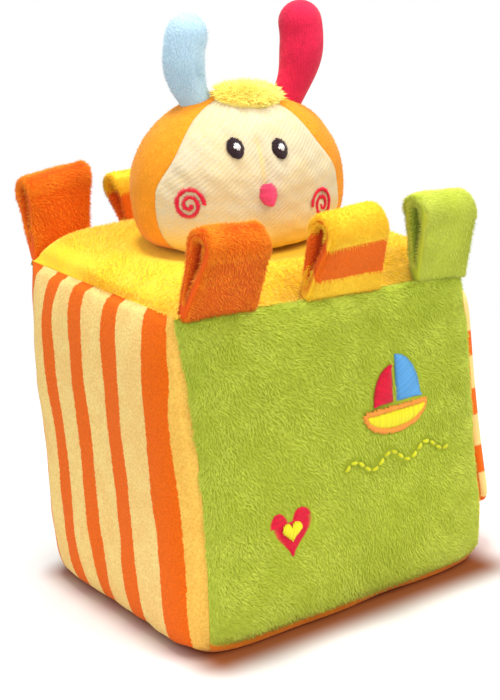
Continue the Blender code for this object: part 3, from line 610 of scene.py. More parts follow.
def bumped(tree, height, strength, distance):
    """The normal of a surface with small heights."""
    inputs = {"Height": height, "Strength": strength, "Distance": distance}
    return add(tree, "ShaderNodeBump", None, inputs).outputs[0]


def reading(tree, name, field="Fac"):
    """A named value that a piece's points carry."""
    return add(tree, "ShaderNodeAttribute", {"attribute_name": name}).outputs[field]


def cloth_place(tree):
    """The three cloth coordinates that a piece's points carry."""
    return add(tree, "ShaderNodeSeparateXYZ", None, {0: reading(tree, "cloth", "Vector")}).outputs


def full(shade):
    """A colour that hides what is behind it."""
    return (*shade[:3], 1.0)


def toned(shade, factor):
    """A darker or lighter version of a colour."""
    return (*(min(part * factor, 1) for part in shade), 1.0)


def group(name, inputs, outputs, fill):
    """A shared effect: a node group with named inputs and outputs."""
    tree = bpy.data.node_groups.get(name)
    if tree:
        return tree
    tree = bpy.data.node_groups.new(name, "ShaderNodeTree")
    for key, (kind, value) in inputs.items():
        tree.interface.new_socket(name=key, in_out="INPUT", socket_type=kind).default_value = value
    for key, kind in outputs.items():
        tree.interface.new_socket(name=key, in_out="OUTPUT", socket_type=kind)
    results = fill(tree, tree.nodes.new("NodeGroupInput").outputs)
    add(tree, "NodeGroupOutput", None, results)
    return tree


def use(tree, shared, inputs):
    """A shared effect placed in a material with the material's own values."""
    return add(tree, "ShaderNodeGroup", {"node_tree": shared}, inputs).outputs


COLOUR, NUMBER, DIRECTION = "NodeSocketColor", "NodeSocketFloat", "NodeSocketVector"
BLACK, WHITE = (0, 0, 0, 1), (1, 1, 1, 1)


def mottle_group():
    """Uneven dye and nap: two sizes of soft patches between a colour and its shade."""
    def fill(tree, given):
        large = noise(tree, given["Scale"])
        small = noise(tree, times(tree, given["Scale"], 7.0), 3.0)
        both = maths(tree, "ADD", times(tree, large, 0.6), times(tree, small, 0.4))
        mask = times(tree, ramp(tree, both, 0.38, 0.62), given["Amount"])
        return {"Color": mix(tree, mask, given["Color"], given["Shade"]), "Mask": mask}
    inputs = {"Color": (COLOUR, WHITE), "Shade": (COLOUR, BLACK), "Scale": (NUMBER, 60.0),
              "Amount": (NUMBER, 0.5)}
    return group("Mottled cloth", inputs, {"Color": COLOUR, "Mask": NUMBER}, fill)


def mottled(tree, base, shade, scale, amount):
    """A colour with uneven dye."""
    inputs = {"Color": base, "Shade": shade, "Scale": scale, "Amount": amount}
    return use(tree, mottle_group(), inputs)["Color"]


def fibre_group():
    """Fibre colour from root to tip, darker roots as painted shade between tufts and lighter tips as a
    painted highlight, with a little difference from strand to strand.
    """
    def fill(tree, given):
        tip = maths(tree, "POWER", reading(tree, "tip"), 0.8)
        bright = varied(tree, reading(tree, "strand"), given["Spread"], 1.0)
        inputs = {"Color": mix(tree, tip, given["Root"], given["Tip"]), "Value": bright}
        return {"Color": add(tree, "ShaderNodeHueSaturation", None, inputs).outputs[0]}
    inputs = {"Root": (COLOUR, BLACK), "Tip": (COLOUR, WHITE), "Spread": (NUMBER, 0.3)}
    return group("Fibre colour", inputs, {"Color": COLOUR}, fill)


def fibre(tree, root, tip, spread):
    """The colour along a tuft, with painted shade at its root and a painted highlight at its tip."""
    return use(tree, fibre_group(), {"Root": full(root), "Tip": full(tip), "Spread": spread})["Color"]


def nap_group():
    """The fine surface of velour: short nap, with ribs across the given direction where Ribs is above 0."""
    def fill(tree, given):
        turned = add(tree, "ShaderNodeMapping", None, {"Vector": own_place(tree), "Rotation": given["Turn"]})
        inputs = {"Vector": turned.outputs[0], "Scale": given["Rib scale"], "Distortion": 1.6, "Detail": 2.0,
                  "Detail Scale": 2.0}
        rib = add(tree, "ShaderNodeTexWave", {"bands_direction": "X"}, inputs)
        grain = noise(tree, given["Grain scale"], 3.0)
        ribs = times(tree, rib.outputs["Fac"], given["Ribs"])
        height = maths(tree, "ADD", ribs, times(tree, grain, 0.8))
        normal = bumped(tree, height, given["Strength"], 0.0006)
        return {"Normal": normal, "Ribs": ribs, "Grain": ramp(tree, grain, 0.36, 0.64, "LINEAR")}
    inputs = {"Turn": (DIRECTION, (0, 0, 0)), "Rib scale": (NUMBER, 140.0), "Ribs": (NUMBER, 0.0),
              "Grain scale": (NUMBER, 1500.0), "Strength": (NUMBER, 0.5)}
    return group("Velour nap", inputs, {"Normal": DIRECTION, "Ribs": NUMBER, "Grain": NUMBER}, fill)


def band_group(name, edges, soft):
    """A mask of printed bands: 0 before the first edge, then changing at every edge, over a position."""
    def fill(tree, given):
        moved = varied(tree, noise(tree, 900.0), given["Fray"], given["Position"])
        moved = varied(tree, noise(tree, 28.0), given["Drift"], moved)
        total = 0.0
        for number, edge in enumerate(edges):
            rise = ramp(tree, moved, edge - soft, edge + soft)
            total = maths(tree, "SUBTRACT" if number % 2 else "ADD", total, rise)
        return {"Mask": total}
    inputs = {key: (NUMBER, 0.0) for key in ("Position", "Fray", "Drift")}
    return group(name, inputs, {"Mask": NUMBER}, fill)


def finish_material(name, tree_fill, roughness=0.92, sheen=0.12):
    """A cloth, thread or plastic material whose colour and normal come from tree_fill."""
    made = bpy.data.materials.get(name)
    if made:
        return made
    made = bpy.data.materials.new(name)
    made.use_nodes = True
    shader = made.node_tree.nodes["Principled BSDF"]
    for key, value in (("Roughness", roughness), ("Sheen Weight", sheen), ("Sheen Roughness", 0.45),
                       ("Sheen Tint", (1.0, 0.95, 0.85, 1)), ("Specular IOR Level", 0.15)):
        shader.inputs[key].default_value = value
    for key, socket in tree_fill(made.node_tree).items():
        made.node_tree.links.new(socket, shader.inputs[key])
    return made


def velour(name, shade, ribs=0.0, rib_scale=140.0, amount=0.35, dark=0.72):
    """Velour of one colour with a short nap, ribbed where ribs is above 0."""
    def fill(tree):
        cloth = mottled(tree, full(shade), toned(shade, dark), 70.0, amount)
        nap = use(tree, nap_group(), {"Rib scale": rib_scale, "Ribs": ribs, "Strength": 0.45})
        base = mix(tree, times(tree, nap["Grain"], 0.28), cloth, toned(shade, 0.6))
        return {"Base Color": base, "Normal": nap["Normal"]}
    return finish_material(name, fill)


def fibres(name, root, tip, spread, amount):
    """The tufts of a plush, from a root colour with painted shade to a tip colour with a painted highlight.
    """
    def fill(tree):
        return {"Base Color": mottled(tree, fibre(tree, root, tip, spread), full(root), 110.0, amount)}
    return finish_material(name, fill, sheen=0.1)


def thread(name, shade):
    """Embroidery thread with a fine twist."""
    def fill(tree):
        base = mix(tree, times(tree, reading(tree, "strand"), 0.5), full(shade), toned(shade, 0.6))
        twist = noise(tree, 2600.0)
        base = mix(tree, times(tree, twist, 0.25), base, toned(shade, 1.5))
        return {"Base Color": base, "Normal": bumped(tree, twist, 0.5, 0.0002)}
    return finish_material(name, fill, roughness=0.45, sheen=0.15)


def wadding():
    """White fibre filling."""
    def fill(tree):
        wad = noise(tree, 420.0, 5.0, 2.5)
        base = mix(tree, wad, (0.72, 0.72, 0.70, 1), (0.97, 0.97, 0.95, 1))
        return {"Base Color": base, "Normal": bumped(tree, wad, 0.8, 0.0008)}
    return finish_material("fibre filling", fill)


def plastic(name, shade, roughness):
    """Moulded plastic with fine scuffs."""
    def fill(tree):
        haze = noise(tree, 260.0, 4.0)
        return {"Base Color": mix(tree, haze, toned(shade, 0.85), full(shade)),
                "Normal": bumped(tree, haze, 0.15, 0.0002)}
    return finish_material(name, fill, roughness=roughness, sheen=0.0)


def striped_velour(look):
    """The left panel's printed stripes, with the plain cloth along its front seam."""
    stripes = band_group("Panel stripes", STRIPE_EDGES, 0.006)

    def fill(tree):
        across = times(tree, cloth_place(tree)[0], -1.0)
        mask = use(tree, stripes, {"Position": across, "Fray": 0.03, "Drift": 0.13})["Mask"]
        pale = mix(tree, maths(tree, "LESS_THAN", across, -0.8), full(look.cream), full(look.seam))
        base = mix(tree, mask, pale, full(look.stripe))
        cloth = mottled(tree, base, mix(tree, 0.35, base, (0.75, 0.16, 0.0, 1)), 130.0, 0.45)
        nap = use(tree, nap_group(), {"Strength": 0.8})
        dark = mix(tree, 1.0, cloth, (0.60, 0.45, 0.22, 1), "MULTIPLY")
        base = mix(tree, times(tree, nap["Grain"], 0.38), cloth, dark)
        return {"Base Color": base, "Normal": nap["Normal"]}
    return finish_material("striped velour", fill, sheen=0.05)


def face_velour(look):
    """The face's ribbed cream velour, with a painted reflection of the yellow top low on the chin and
    painted shade along the dart.
    """
    def fill(tree):
        shade = full(look.face_reflection_and_shade)
        # Painted reflection: towards the chin the face turns to the yellow reflection colour, as if lit by
        # the yellow top.
        base = mix(tree, ramp(tree, reading(tree, "level"), -0.003, -0.020), full(look.face), shade)
        cloth = mottled(tree, base, shade, 75.0, 0.20)
        ribbed = {"Turn": (0.0, math.radians(-52), 0.0), "Rib scale": 285.0, "Ribs": 0.40, "Strength": 0.30}
        nap = use(tree, nap_group(), ribbed)
        base = mix(tree, times(tree, nap["Ribs"], 0.30), cloth, shade)
        dark = mix(tree, 1.0, base, (0.85, 0.78, 0.62, 1), "MULTIPLY")
        base = mix(tree, times(tree, nap["Grain"], 0.25), base, dark)
        # Painted shade: the face darkens along the dart's crease.
        return {"Base Color": mix(tree, reading(tree, "crease_shade"), base, shade), "Normal": nap["Normal"]}
    return finish_material("ribbed face velour", fill)


def plain_ribbon(name, shade, deep):
    """A loop's ribbon in one colour, paler at its rims, with painted shade inside its fold."""
    def fill(tree):
        rim = ramp(tree, maths(tree, "ABSOLUTE", cloth_place(tree)[0]), 0.985, 1.0, "LINEAR")
        cloth = mottled(tree, full(shade), toned(shade, 0.6), 90.0, 0.4)
        # Painted shade: the inner side of the fold takes the darker colour.
        base = mix(tree, times(tree, reading(tree, "inner"), 0.85), cloth, full(deep))
        nap = use(tree, nap_group(), {"Strength": 0.4})
        base = mix(tree, times(tree, rim, 0.4), base, toned(shade, 1.3))
        return {"Base Color": base, "Normal": nap["Normal"]}
    return finish_material(name, fill)


def banded_ribbon(name, look, on_pile):
    """The striped loops' bands, on their ribbon, with painted shade inside its fold, or on their pile."""
    bands = band_group("Ribbon bands", LOOP_EDGES, 0.0004)

    def fill(tree):
        mask = use(tree, bands, {"Position": cloth_place(tree)[1], "Fray": 0.0008, "Drift": 0.001})["Mask"]
        if on_pile:
            warm = fibre(tree, toned(look.band, 0.85), toned(look.band, 1.2), 0.3)
            pale = fibre(tree, linear(250, 176, 14), look.band_yellow, 0.2)
            base = mix(tree, mask, pale, warm)
        else:
            base = mix(tree, mask, full(look.band_yellow), full(look.band))
            # Painted shade: the inner side of the fold is dark orange.
            base = mix(tree, reading(tree, "inner"), base, full(linear(205, 72, 12)))
        return {"Base Color": mottled(tree, base, toned(look.band, 0.8), 120.0, 0.15)}
    return finish_material(name, fill)


def printed_flap(look):
    """The flap's printed bands, by height."""
    bands = band_group("Flap bands", FLAP_EDGES, 0.0004)

    def fill(tree):
        mask = use(tree, bands, {"Position": cloth_place(tree)[2], "Fray": 0.0008, "Drift": 0.0012})["Mask"]
        base = mix(tree, mask, full(look.cream), full(look.stripe))
        cloth = mottled(tree, base, (0.55, 0.25, 0.06, 1), 60.0, 0.12)
        return {"Base Color": cloth, "Normal": use(tree, nap_group(), {"Strength": 0.35})["Normal"]}
    return finish_material("printed flap velour", fill)


# The sewn pictures' outlines


def heart_outline(width):
    """The sewn heart."""
    turn = turns(60)
    x = np.sin(turn) ** 3
    y = (13 * np.cos(turn) - 5 * np.cos(2 * turn) - 2 * np.cos(3 * turn) - np.cos(4 * turn)) / 16
    return np.stack([HEART + width / 2 * x, HEART_LEVEL + width / 2 * y], -1)


def hull_outline(border):
    """The boat's hull, or its middle inside a border."""
    angle = math.pi + np.linspace(0, math.pi, 40)
    x = BOAT + (HULL_HALF - border) * np.cos(angle)
    y = BOAT_LEVEL - border + (HULL_DEEP - 2 * border) * np.sin(angle)
    return np.stack([x, y], -1)


def sail_outline(side, scale):
    """A sail on one side of the mast."""
    near, foot = BOAT + side * 0.0006, BOAT_LEVEL + 0.0012
    angle = np.linspace(math.pi / 2, 0, 24)
    across, level = side * SAIL_WIDE * scale * np.cos(angle), SAIL_TALL * scale * np.sin(angle)
    return np.concatenate([[[near, foot]], np.stack([near + across, foot + level], -1)])


def wave_path():
    """The line of the waves under the boat."""
    share = np.linspace(0, 1, 240)
    level = BOAT_LEVEL - WAVE_DROP + WAVE_HIGH * np.sin(math.tau * WAVE_COUNT * share)
    return np.stack([BOAT + WAVE_LONG * (share - 0.5), level], -1)


# The block's cloth


def panel_limits(face, v):
    """Where a panel's cloth starts and ends across, at heights v. The striped panel rolls onto the front."""
    roll = SIDE_ROLL * np.maximum(1 - (v - SIDE_ROLL_LEVEL) ** 2, 0) ** 0.9
    low, high = -np.ones_like(v), np.ones_like(v)
    if face == "front":
        low = low + roll
    if face == "left":
        high = high + roll * HALF[0] / HALF[1]
    return low, high


def panel_grid(face, size, lift):
    """Points and cube points of one panel, with its cloth coordinates: u, v and centimetres to the seam."""
    bottom, top = -1.0, 1.0
    if face == "front":
        bottom += BASE_ROLL
    if face == "bottom":
        top += BASE_ROLL * HALF[2] / HALF[1]
    even = np.linspace(-1, 1, size)
    even = 0.5 * even + 0.5 * np.sin(even * math.pi / 2)
    up, along = grid(even, even)
    v = bottom + (top - bottom) * (up + 1) / 2
    low, high = panel_limits(face, v)
    u = low + (high - low) * (along + 1) / 2
    spots = cube(face, u, v)
    base = block(spots)
    _, (a, _), (b, _) = FACES[face]
    near = np.minimum((1 - np.abs(along)) * HALF[a], (1 - np.abs(up)) * HALF[b])
    rise = step(near, 0.0, SEAM_RISE)
    pucker = waves(base, 0.010, 11 + len(face)) * np.exp(-near / PUCKER_REACH) * step(near, 0.0, 0.002)
    more = lift * (0.15 + 0.85 * rise) + rise * SWELL * (1 + waves(base, 0.034, 5))
    more = more + PUCKER * pucker * lift / LIFT
    if face == "top":
        more = more * (0.04 + 0.96 * step(from_head(base), 0.85, 1.15))
    points = block(spots, more)
    points[..., 2] = np.maximum(points[..., 2], 0.0)
    return points, spots, np.stack([u, v, near / 0.01], -1)


def panel(face, finish, lift=LIFT):
    """One panel's cloth, with its points, normals and cloth coordinates for the pile."""
    points, spots, cloth = panel_grid(face, 112, lift)
    (axis, sign), *_ = FACES[face]
    values = {"cloth": flat(cloth, cloth)}
    made = shell("panel_%s_cloth" % face, points, block(spots, -CLOTH), finish, values=values)
    settle(made, "block", ["panel_" + face])
    return made, points, grid_normals(points, sign * np.eye(3)[axis]), cloth


def clear_of_pictures(roots, flow, lay):
    """Which roots stay out of the pictures on the front, also along the way that their tufts lie."""
    keep = np.ones(len(roots), bool)
    outlines = [heart_outline(0.0172), hull_outline(-0.0002), sail_outline(1, 1.03), sail_outline(-1, 0.83)]
    for outline in outlines:
        for share in (0.0, 0.4, 0.8, 1.2):
            keep &= ~inside((roots + flow * lay * share)[:, [0, 2]], outline)
    for share in (0.0, 0.5, 1.0):
        away = (roots + flow * lay * share)[:, None, [0, 2]] - wave_path()[None, ::3]
        keep &= np.linalg.norm(away, axis=-1).min(1) > 0.0009
    return keep


def top_wear(roots, seam):
    """Which roots of the top stay, and how short its tufts are near the head and the back seam."""
    keep = (from_head(roots) > 0.8) & ~((roots[:, 1] > 0.02) & (seam < 0.003))
    worn = step(roots[:, 1], 0.0, 0.02) * (1 - step(seam, 0.006, 0.014))
    worn = np.maximum(worn, 1 - step(from_head(roots), 0.95, 1.2))
    return keep, 1.15 * (1 - 0.85 * worn)[:, None]


def build_cover(look):
    """The six panels and the pile of the plush ones."""
    orange = velour("orange velour", look.orange)
    green_cloth = velour("green backing", toned(look.green, 0.8)[:3])
    yellow_cloth = velour("yellow backing", look.yellow)
    # Each pile's darker root colour is painted shade and its lighter tip colour a painted highlight.
    green_pile = fibres("green pile", toned(look.green, 0.87), look.green_tip, 0.4, 0.5)
    yellow_pile = fibres("yellow pile", linear(252, 186, 26), look.yellow_tip, 0.35, 0.5)
    panel("left", striped_velour(look))
    panel("right", orange)
    panel("bottom", orange, lift=0.0)
    down, forward = (0.0, 0.0, -1.0), (0.3, -1.0, 0.0)
    share = tufts(1.0)
    for face, cloth_finish, pile_finish, slot, count, turn, way in (
            ("front", green_cloth, green_pile, "green_plush", look.front_tufts, 0.25, down),
            ("back", green_cloth, green_pile, "green_plush", look.front_tufts, 0.2, down),
            ("top", yellow_cloth, yellow_pile, "yellow_plush", look.top_tufts, 0.0, forward)):
        made, points, normals, cloth = panel(face, cloth_finish)
        spots = scatter(points, normals, cloth, int(count * share), len(face))
        flow = flow_down(*spots[:2], turn, 20 + len(face), small=0.7, way=way)
        keep, size = np.ones(len(flow), bool), np.ones((len(flow), 1))
        if face == "front":
            keep = clear_of_pictures(spots[0], flow, look.pile_lay)
        if face == "top":
            keep, size = top_wear(spots[0], spots[2][:, 2] * 0.01)
        sizes = shorter((look.pile_height, look.pile_lay, look.pile_width), size[keep])
        kept = [part[keep] for part in spots]
        pile(made, pile_finish, kept, flow[keep], sizes, 30 + len(face))


def build_filling(look):
    """The wads of fibre in the block, the head, the antennae and the flap, and the neck's cloth."""
    for node, body in (("filling_lower", "block"), ("filling_upper", "block"), ("head_filling", "head"),
                       ("antenna_left_filling", "antenna_left"), ("antenna_right_filling", "antenna_right"),
                       ("flap_wadding", "flap")):
        soft_copy(node + "_wad", node, wadding(), body, 0.00005, 0.00005)
    orange = velour("orange velour", look.orange)
    soft_copy("neck_cloth", "neck", orange, "neck", 0.00002, 0.00001)


def build_rattle(_look):
    """The rattle capsule and its beads are the frame's own solids with a finish. No setting changes them."""
    capsule = plastic("capsule plastic", CAPSULE, 0.35)
    bead = plastic("bead plastic", BEAD, 0.28)
    for name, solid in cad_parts.items():
        if name.startswith("rattle_"):
            solid.data.materials.clear()
            solid.data.materials.append(capsule if "shell" in name else bead)


# The head


def dart(across, level, width, low):
    """How near a spot is to the dart down the middle of the face."""
    long = step(level, low, 0.003) * (1 - step(level, 0.012, 0.018))
    return np.exp(-((across - DART) / width) ** 2) * long


def face_lift(points, across, level):
    """The face's small hollows and swellings over its solid."""
    dimple = np.exp(-((across / 0.002) ** 2 + ((level + 0.0102) / 0.0022) ** 2))
    sockets = sum(np.exp(-(((across - x) / 0.004) ** 2 + ((level - z) / 0.0045) ** 2)) for x, z, _ in EYES)
    soft = 0.0004 * waves(points, 0.014, 41) + 0.00025 * waves(points, 0.006, 42)
    hollow = 0.0009 * dart(across, level, 0.0013, -0.002) + 0.0006 * dimple + 0.0003 * sockets
    rise = np.maximum(0.0008 + soft - hollow, 0.0001)
    return 0.0001 + (rise - 0.0001) * step(level, -0.0235, -0.0150)


def build_face_cloth(look):
    """The head's ribbed face panel."""
    level, turn = grid(np.linspace(0, 1, 60), turns(160))
    way = head_way(face_seam(turn) * level, turn)
    base = head(way)
    across, _, height = np.moveaxis(head_local(base), -1, 0)
    outer = head(way, face_lift(base, across, height) * (0.2 + 0.8 * (1 - step(level, 0.93, 1.0))))
    # Painted shade along the dart, carried to the face's finish.
    crease_shade = 0.35 * dart(across, height, 0.0007, -0.001).ravel()
    values = {"crease_shade": np.concatenate([crease_shade, 0 * crease_shade]), "level": np.tile(height.ravel(), 2)}
    inner = head(way, LINING_LIFT, LINING_CLEAR)
    made = shell("head_face_cloth", outer, inner, face_velour(look), True, values)
    settle(made, "head", ["head_face"])


def build_side_cloth(look, side, word):
    """One orange side of the head and its short pile."""
    down, back = grid(np.linspace(0, 1, 90), np.linspace(0, 1, 90))
    turn = math.pi / 2 - side * math.pi * down
    start = face_seam(turn)
    way = head_way(start + (math.pi - start) * np.sin(math.pi / 2 * back), turn)
    base = head(way)
    rise = step(np.minimum(back * 0.05, np.minimum(down, 1 - down) * 0.06), 0.0, 0.004)
    rise = rise * step(head_local(base)[..., 2], -0.0205, -0.0150)
    soft = 0.0002 * waves(base, 0.016, 51) + 0.0001 * waves(base, 0.007, 52)
    outer, inner = head(way, 0.0001 + rise * (0.0003 + soft)), head(way, LINING_LIFT, LINING_CLEAR)
    orange = velour("head orange velour", look.gusset, amount=0.5)
    made = shell("head_side_%s_cloth" % word, outer, inner, orange)
    settle(made, "head", ["head_side_" + word])
    normals = grid_normals(outer, outer - HEAD_CENTRE)
    spots = scatter(outer, normals, np.zeros(outer.shape), tufts(9000), 55 + side)
    shown = head_local(spots[0])[:, 2] > -0.0150
    spots = [part[shown] for part in spots]
    flow = flow_down(*spots[:2], 0.4 * side, 57)
    share = 0.25 + 0.75 * step(head_local(spots[0])[:, 2:], -0.0145, -0.0085)
    nap = fibres("gusset pile", toned(look.gusset, 0.82), toned(look.gusset, 1.3), 0.4, 0.55)
    pile(made, nap, spots, flow, shorter(SIDE_TUFT, share), 58)


def build_head(look):
    """The head's cloth: the face panel and the two orange sides."""
    build_face_cloth(look)
    build_side_cloth(look, -1, "left")
    build_side_cloth(look, 1, "right")


def build_hair(look):
    """The tuft of long pile between the antennae."""
    hair = fibres("hair pile", look.hair, look.hair_tip, 0.3, 0.3)
    rings, around = 8, 40
    level, turn = grid(np.linspace(0, 1, rings), turns(around))
    across = HAIR_SPOT[0] + HAIR_HALF[0] * level * np.cos(turn)
    forward = HAIR_SPOT[1] + HAIR_HALF[1] * level * np.sin(turn)
    lifts = (HAIR_THICK - HAIR_DROP * level ** 3, HAIR_SUNK)
    top, low = (over_head(across, forward, lift) for lift in lifts)
    made = shell("hair_tuft_cloth", top, low, hair, True, {"tip": np.full(2 * rings * around, 0.8)})
    settle(made, "head", ["hair_tuft"])
    normals = grid_normals(top, top - HEAD_CENTRE, True)
    spots = scatter(top[:-1], normals[:-1], np.zeros(top[:-1].shape), tufts(4200), 61, True)
    curl = np.stack([waves(spots[0], 0.006, seed) for seed in (62, 63, 64)], -1)
    flow = unit(spots[0] - over_head(*HAIR_PARTING, 0.0)) + np.array((0.0, -0.5, 0.25)) + 0.8 * curl
    pile(made, hair, spots, flow, HAIR_TUFT, 65, 0.9)


def build_face(look):
    """The eyes, nose and cheek spirals, in satin stitch."""
    dark, white = thread("dark thread", look.eye), thread("white thread", (0.85, 0.85, 0.85))
    pink, red = thread("pink thread", look.nose), thread("crimson thread", look.spiral)

    def sew(node, finish, slot, runs, **sizes):
        stitches(node, "head", finish, slot, runs, on_head, **sizes)

    for (across, level, tilt), word in zip(EYES, ("left", "right")):
        runs = satin(oval(across, level, *EYE_SIZE, tilt), 0.15, 0.00036)
        sew("eye_" + word, dark, "dark_thread", runs, radius=0.00030, rise=0.0008, arch=0.0007)
        glint = oval(across + GLINT_ASIDE[0], level + GLINT_ASIDE[1], *GLINT_SIZE, 0.5)
        runs = satin(glint, 1.9, 0.0005)
        sew("eye_glint_" + word, white, "white_thread", runs, radius=0.00026, rise=0.0016, arch=0.0003)
    runs = satin(oval(*NOSE, *NOSE_SIZE, NOSE_TILT), 0.1, 0.00038)
    sew("nose", pink, "pink_thread", runs, radius=0.00034, rise=0.0009, arch=0.0020)
    for side, (across, level), word in zip((-1, 1), CHEEKS, ("left", "right")):
        turned = np.linspace(0, CHEEK_TURNS * math.tau, 160)
        share = 1 - CHEEK_SHRINK * turned / turned[-1]
        bend = turned if side < 0 else math.pi - turned
        x, z = (half * share * way(bend) for half, way in zip(CHEEK_HALF, (np.cos, np.sin)))
        runs = along_path(np.stack([across + x, level + z], -1), CHEEK_WIDE, 0.00052, 70 + side)
        sew("cheek_spiral_" + word, red, "crimson_thread", runs, radius=0.00027, rise=0.0009, arch=0.0003)


def antenna_rings(side, sizes, inset, rings=44, around=32):
    """Rings of an antenna's cloth from its tip to its foot, set in from its surface."""
    long, arch, splay, wide = sizes
    across, forward = ANTENNA_SPOT[0] + side * ANTENNA_SPACE, ANTENNA_SPOT[1]
    pivot = over_head(across, forward, 0.0) - np.array((0, 0, 0.0002))
    up, out, front = np.array((0, 0, 1.0)), TURNED @ np.array((side, 0, 0)), TURNED @ np.array((0, 1.0, 0))
    run = long + 0.0002 - wide
    share = np.concatenate([np.full(7, 1.0), np.linspace(1.0, -0.12, rings)])
    cap = np.concatenate([np.linspace(0, math.pi / 2, 7, endpoint=False), np.full(rings, math.pi / 2)])
    aside = splay * share + arch * share * (1 - share) * 2
    spine = pivot + up * run * share[:, None] + out * aside[:, None]
    way = unit(up * run + out * (splay + arch * 2 * (1 - 2 * share))[:, None])
    radius = ANTENNA_FOOT + (wide - ANTENNA_FOOT) * step(share, 0.0, 0.7) + 0.0002 - inset
    radius = radius * (1 + 0.02 * waves(spine, 0.012, 80 + side))
    centre = spine + way * (radius * np.cos(cap))[:, None]
    cross = unit(np.cross(way, front))
    turn = turns(around)[None, :, None]
    ring = cross[:, None] * np.cos(turn) + front * np.sin(turn)
    return centre[:, None] + ring * (radius * np.sin(cap))[:, None, None]


def build_antennae(look):
    """The two antennae: one in fluffy blue plush, one in pink knitted velour."""
    finishes = {"left": (velour("blue backing", look.blue), "blue_plush"),
                "right": (velour("pink knit", look.pink, 0.35, 400.0, 0.6, 0.6), "pink_knit")}
    for word, (side, sizes) in ANTENNAE.items():
        finish, slot = finishes[word]
        outer, inner = (antenna_rings(side, sizes, inset) for inset in (0.0, 0.0014))
        made = shell("antenna_%s_cloth" % word, outer, inner, finish, True)
        settle(made, "antenna_" + word, ["antenna_%s_cover" % word])
        if word == "left":
            normals = grid_normals(outer, outer - outer.mean(1, keepdims=True), True)
            shown = slice(0, -6)
            down = np.zeros(outer[shown].shape)
            down[..., 0] = np.linspace(0, 1, len(down))[:, None]
            spots = scatter(outer[shown], normals[shown], down, tufts(5200), 82, True)
            flow = flow_down(*spots[:2], math.pi, 83, big=0.5)
            share = 1 - 0.8 * step(spots[2][:, :1], 0.87, 0.97)
            fluff = fibres("blue pile", toned(look.blue, 0.9), look.blue_tip, 0.15, 0.3)
            pile(made, fluff, spots, flow, shorter(ANTENNA_TUFT, share), 84)


# Loops, flap and pictures


def drop(low_radius, top_radius, low, top):
    """The outline of a folded ribbon seen from its end: a round fold on straight sides and a small foot."""
    middle = top - top_radius
    flare = math.asin((top_radius - low_radius) / (middle - low))
    large = np.linspace(-flare, math.pi + flare, 34)
    small = np.linspace(math.pi + flare, 2 * math.pi - flare, 8)
    side = np.linspace(0, 1, 14)[1:-1, None]
    big = np.stack([top_radius * np.cos(large), middle + top_radius * np.sin(large)], -1)
    little = np.stack([low_radius * np.cos(small), low + low_radius * np.sin(small)], -1)
    first = big[-1] + (little[0] - big[-1]) * side
    last = little[-1] + (big[0] - little[-1]) * side
    return np.concatenate([big, first, little, last])


def loop_grid(name, extra, inner, columns=33):
    """Points of one side of a ribbon loop's cloth: its outer side, or its inner side round the gap."""
    side, share, angles, (base, top, tall) = LOOPS[name]
    lean, tilt, slope = (math.radians(degrees) for degrees in angles)
    tall = tall * LOOP_TALL
    if inner:
        sunk = LOOP_PLY + extra
        outline = drop(LOOP_GAP_FOOT, LOOP_THICK / 2 - sunk, LOOP_GAP_BASE, tall - sunk)
    else:
        outline = drop(LOOP_FOOT + extra, LOOP_THICK / 2 + extra, 0.0, tall + extra)
    along = np.sin(np.linspace(-1, 1, columns) * math.pi / 2)[:, None]
    height = outline[None, :, 1]
    rise = height / tall
    reach = along * LOOP_WIDE * (base + (top - base) * rise) / 2
    x = reach + tilt * height
    seam = block(np.array([share, side, 1.0]))
    pivot = seam + np.array((0, side, 1.0)) * math.sin(math.pi / 4) * (LOOP_FOOT + LOOP_SINK)
    depth, level = (np.broadcast_to(part, x.shape) for part in (outline[:, 0], height))
    y = depth * math.cos(lean) + level * side * math.sin(lean)
    z = level * math.cos(lean) - depth * side * math.sin(lean)
    z = z - reach * (SEAM_SLOPE * (1 - rise) + math.sin(slope) * rise)
    points = pivot + np.stack([x, y, z], -1)
    ripple = 0.00035 * waves(points, 0.012, sum(map(ord, name))) * step(height, 0.002, 0.010)
    round_end = 1 - np.sqrt(np.maximum(1 - np.clip((np.abs(along) - 0.86) / 0.14, 0, 1) ** 2, 0))
    half_ply = (LOOP_PLY + extra) / 2 * round_end
    more = half_ply if inner else np.maximum(ripple + 0.0002, 0) - half_ply
    outward = unit(points - points.mean(1, keepdims=True))
    points = points + outward * np.broadcast_to(more, x.shape)[..., None]
    return points, np.stack([np.broadcast_to(along, x.shape), level, 0 * x], -1)


def loop_pile(made, name, kind, finish, outer, inner, cloth):
    """A loop's pile, outside and just inside the ends of its fold, shorter at the foot behind the block."""
    side, seed = LOOPS[name][0], sum(map(ord, name))
    normals = grid_normals(outer, outer - outer.mean(1, keepdims=True), True)
    hollow = grid_normals(inner, inner.mean(1, keepdims=True) - inner, True)
    spots = scatter(outer, normals, cloth, tufts(8000), seed, True)
    turn = 0.5 if kind == "orange" else 0.2
    flow = flow_down(*spots[:2], turn, seed + 1, small=0.7, way=(0.0, 0.55 * side, -1.0))
    for end in (slice(0, 8), slice(-8, None)):
        more = scatter(inner[end], hollow[end], cloth[end], tufts(900), seed + 7, True)
        out = unit(np.array((1.0 if end.start else -1.0, 0.0, -0.3)) + 0.5 * more[1])
        spots = [np.concatenate(pair) for pair in zip(spots, more)]
        flow = np.concatenate([flow, out])
    short = 0.7 if side > 0 else 0.0
    share = 1 - short * (1 - step(spots[2][:, 1:2], 0.001, 0.0055))
    pile(made, finish, spots, flow, shorter(LOOP_TUFT, share), len(name))


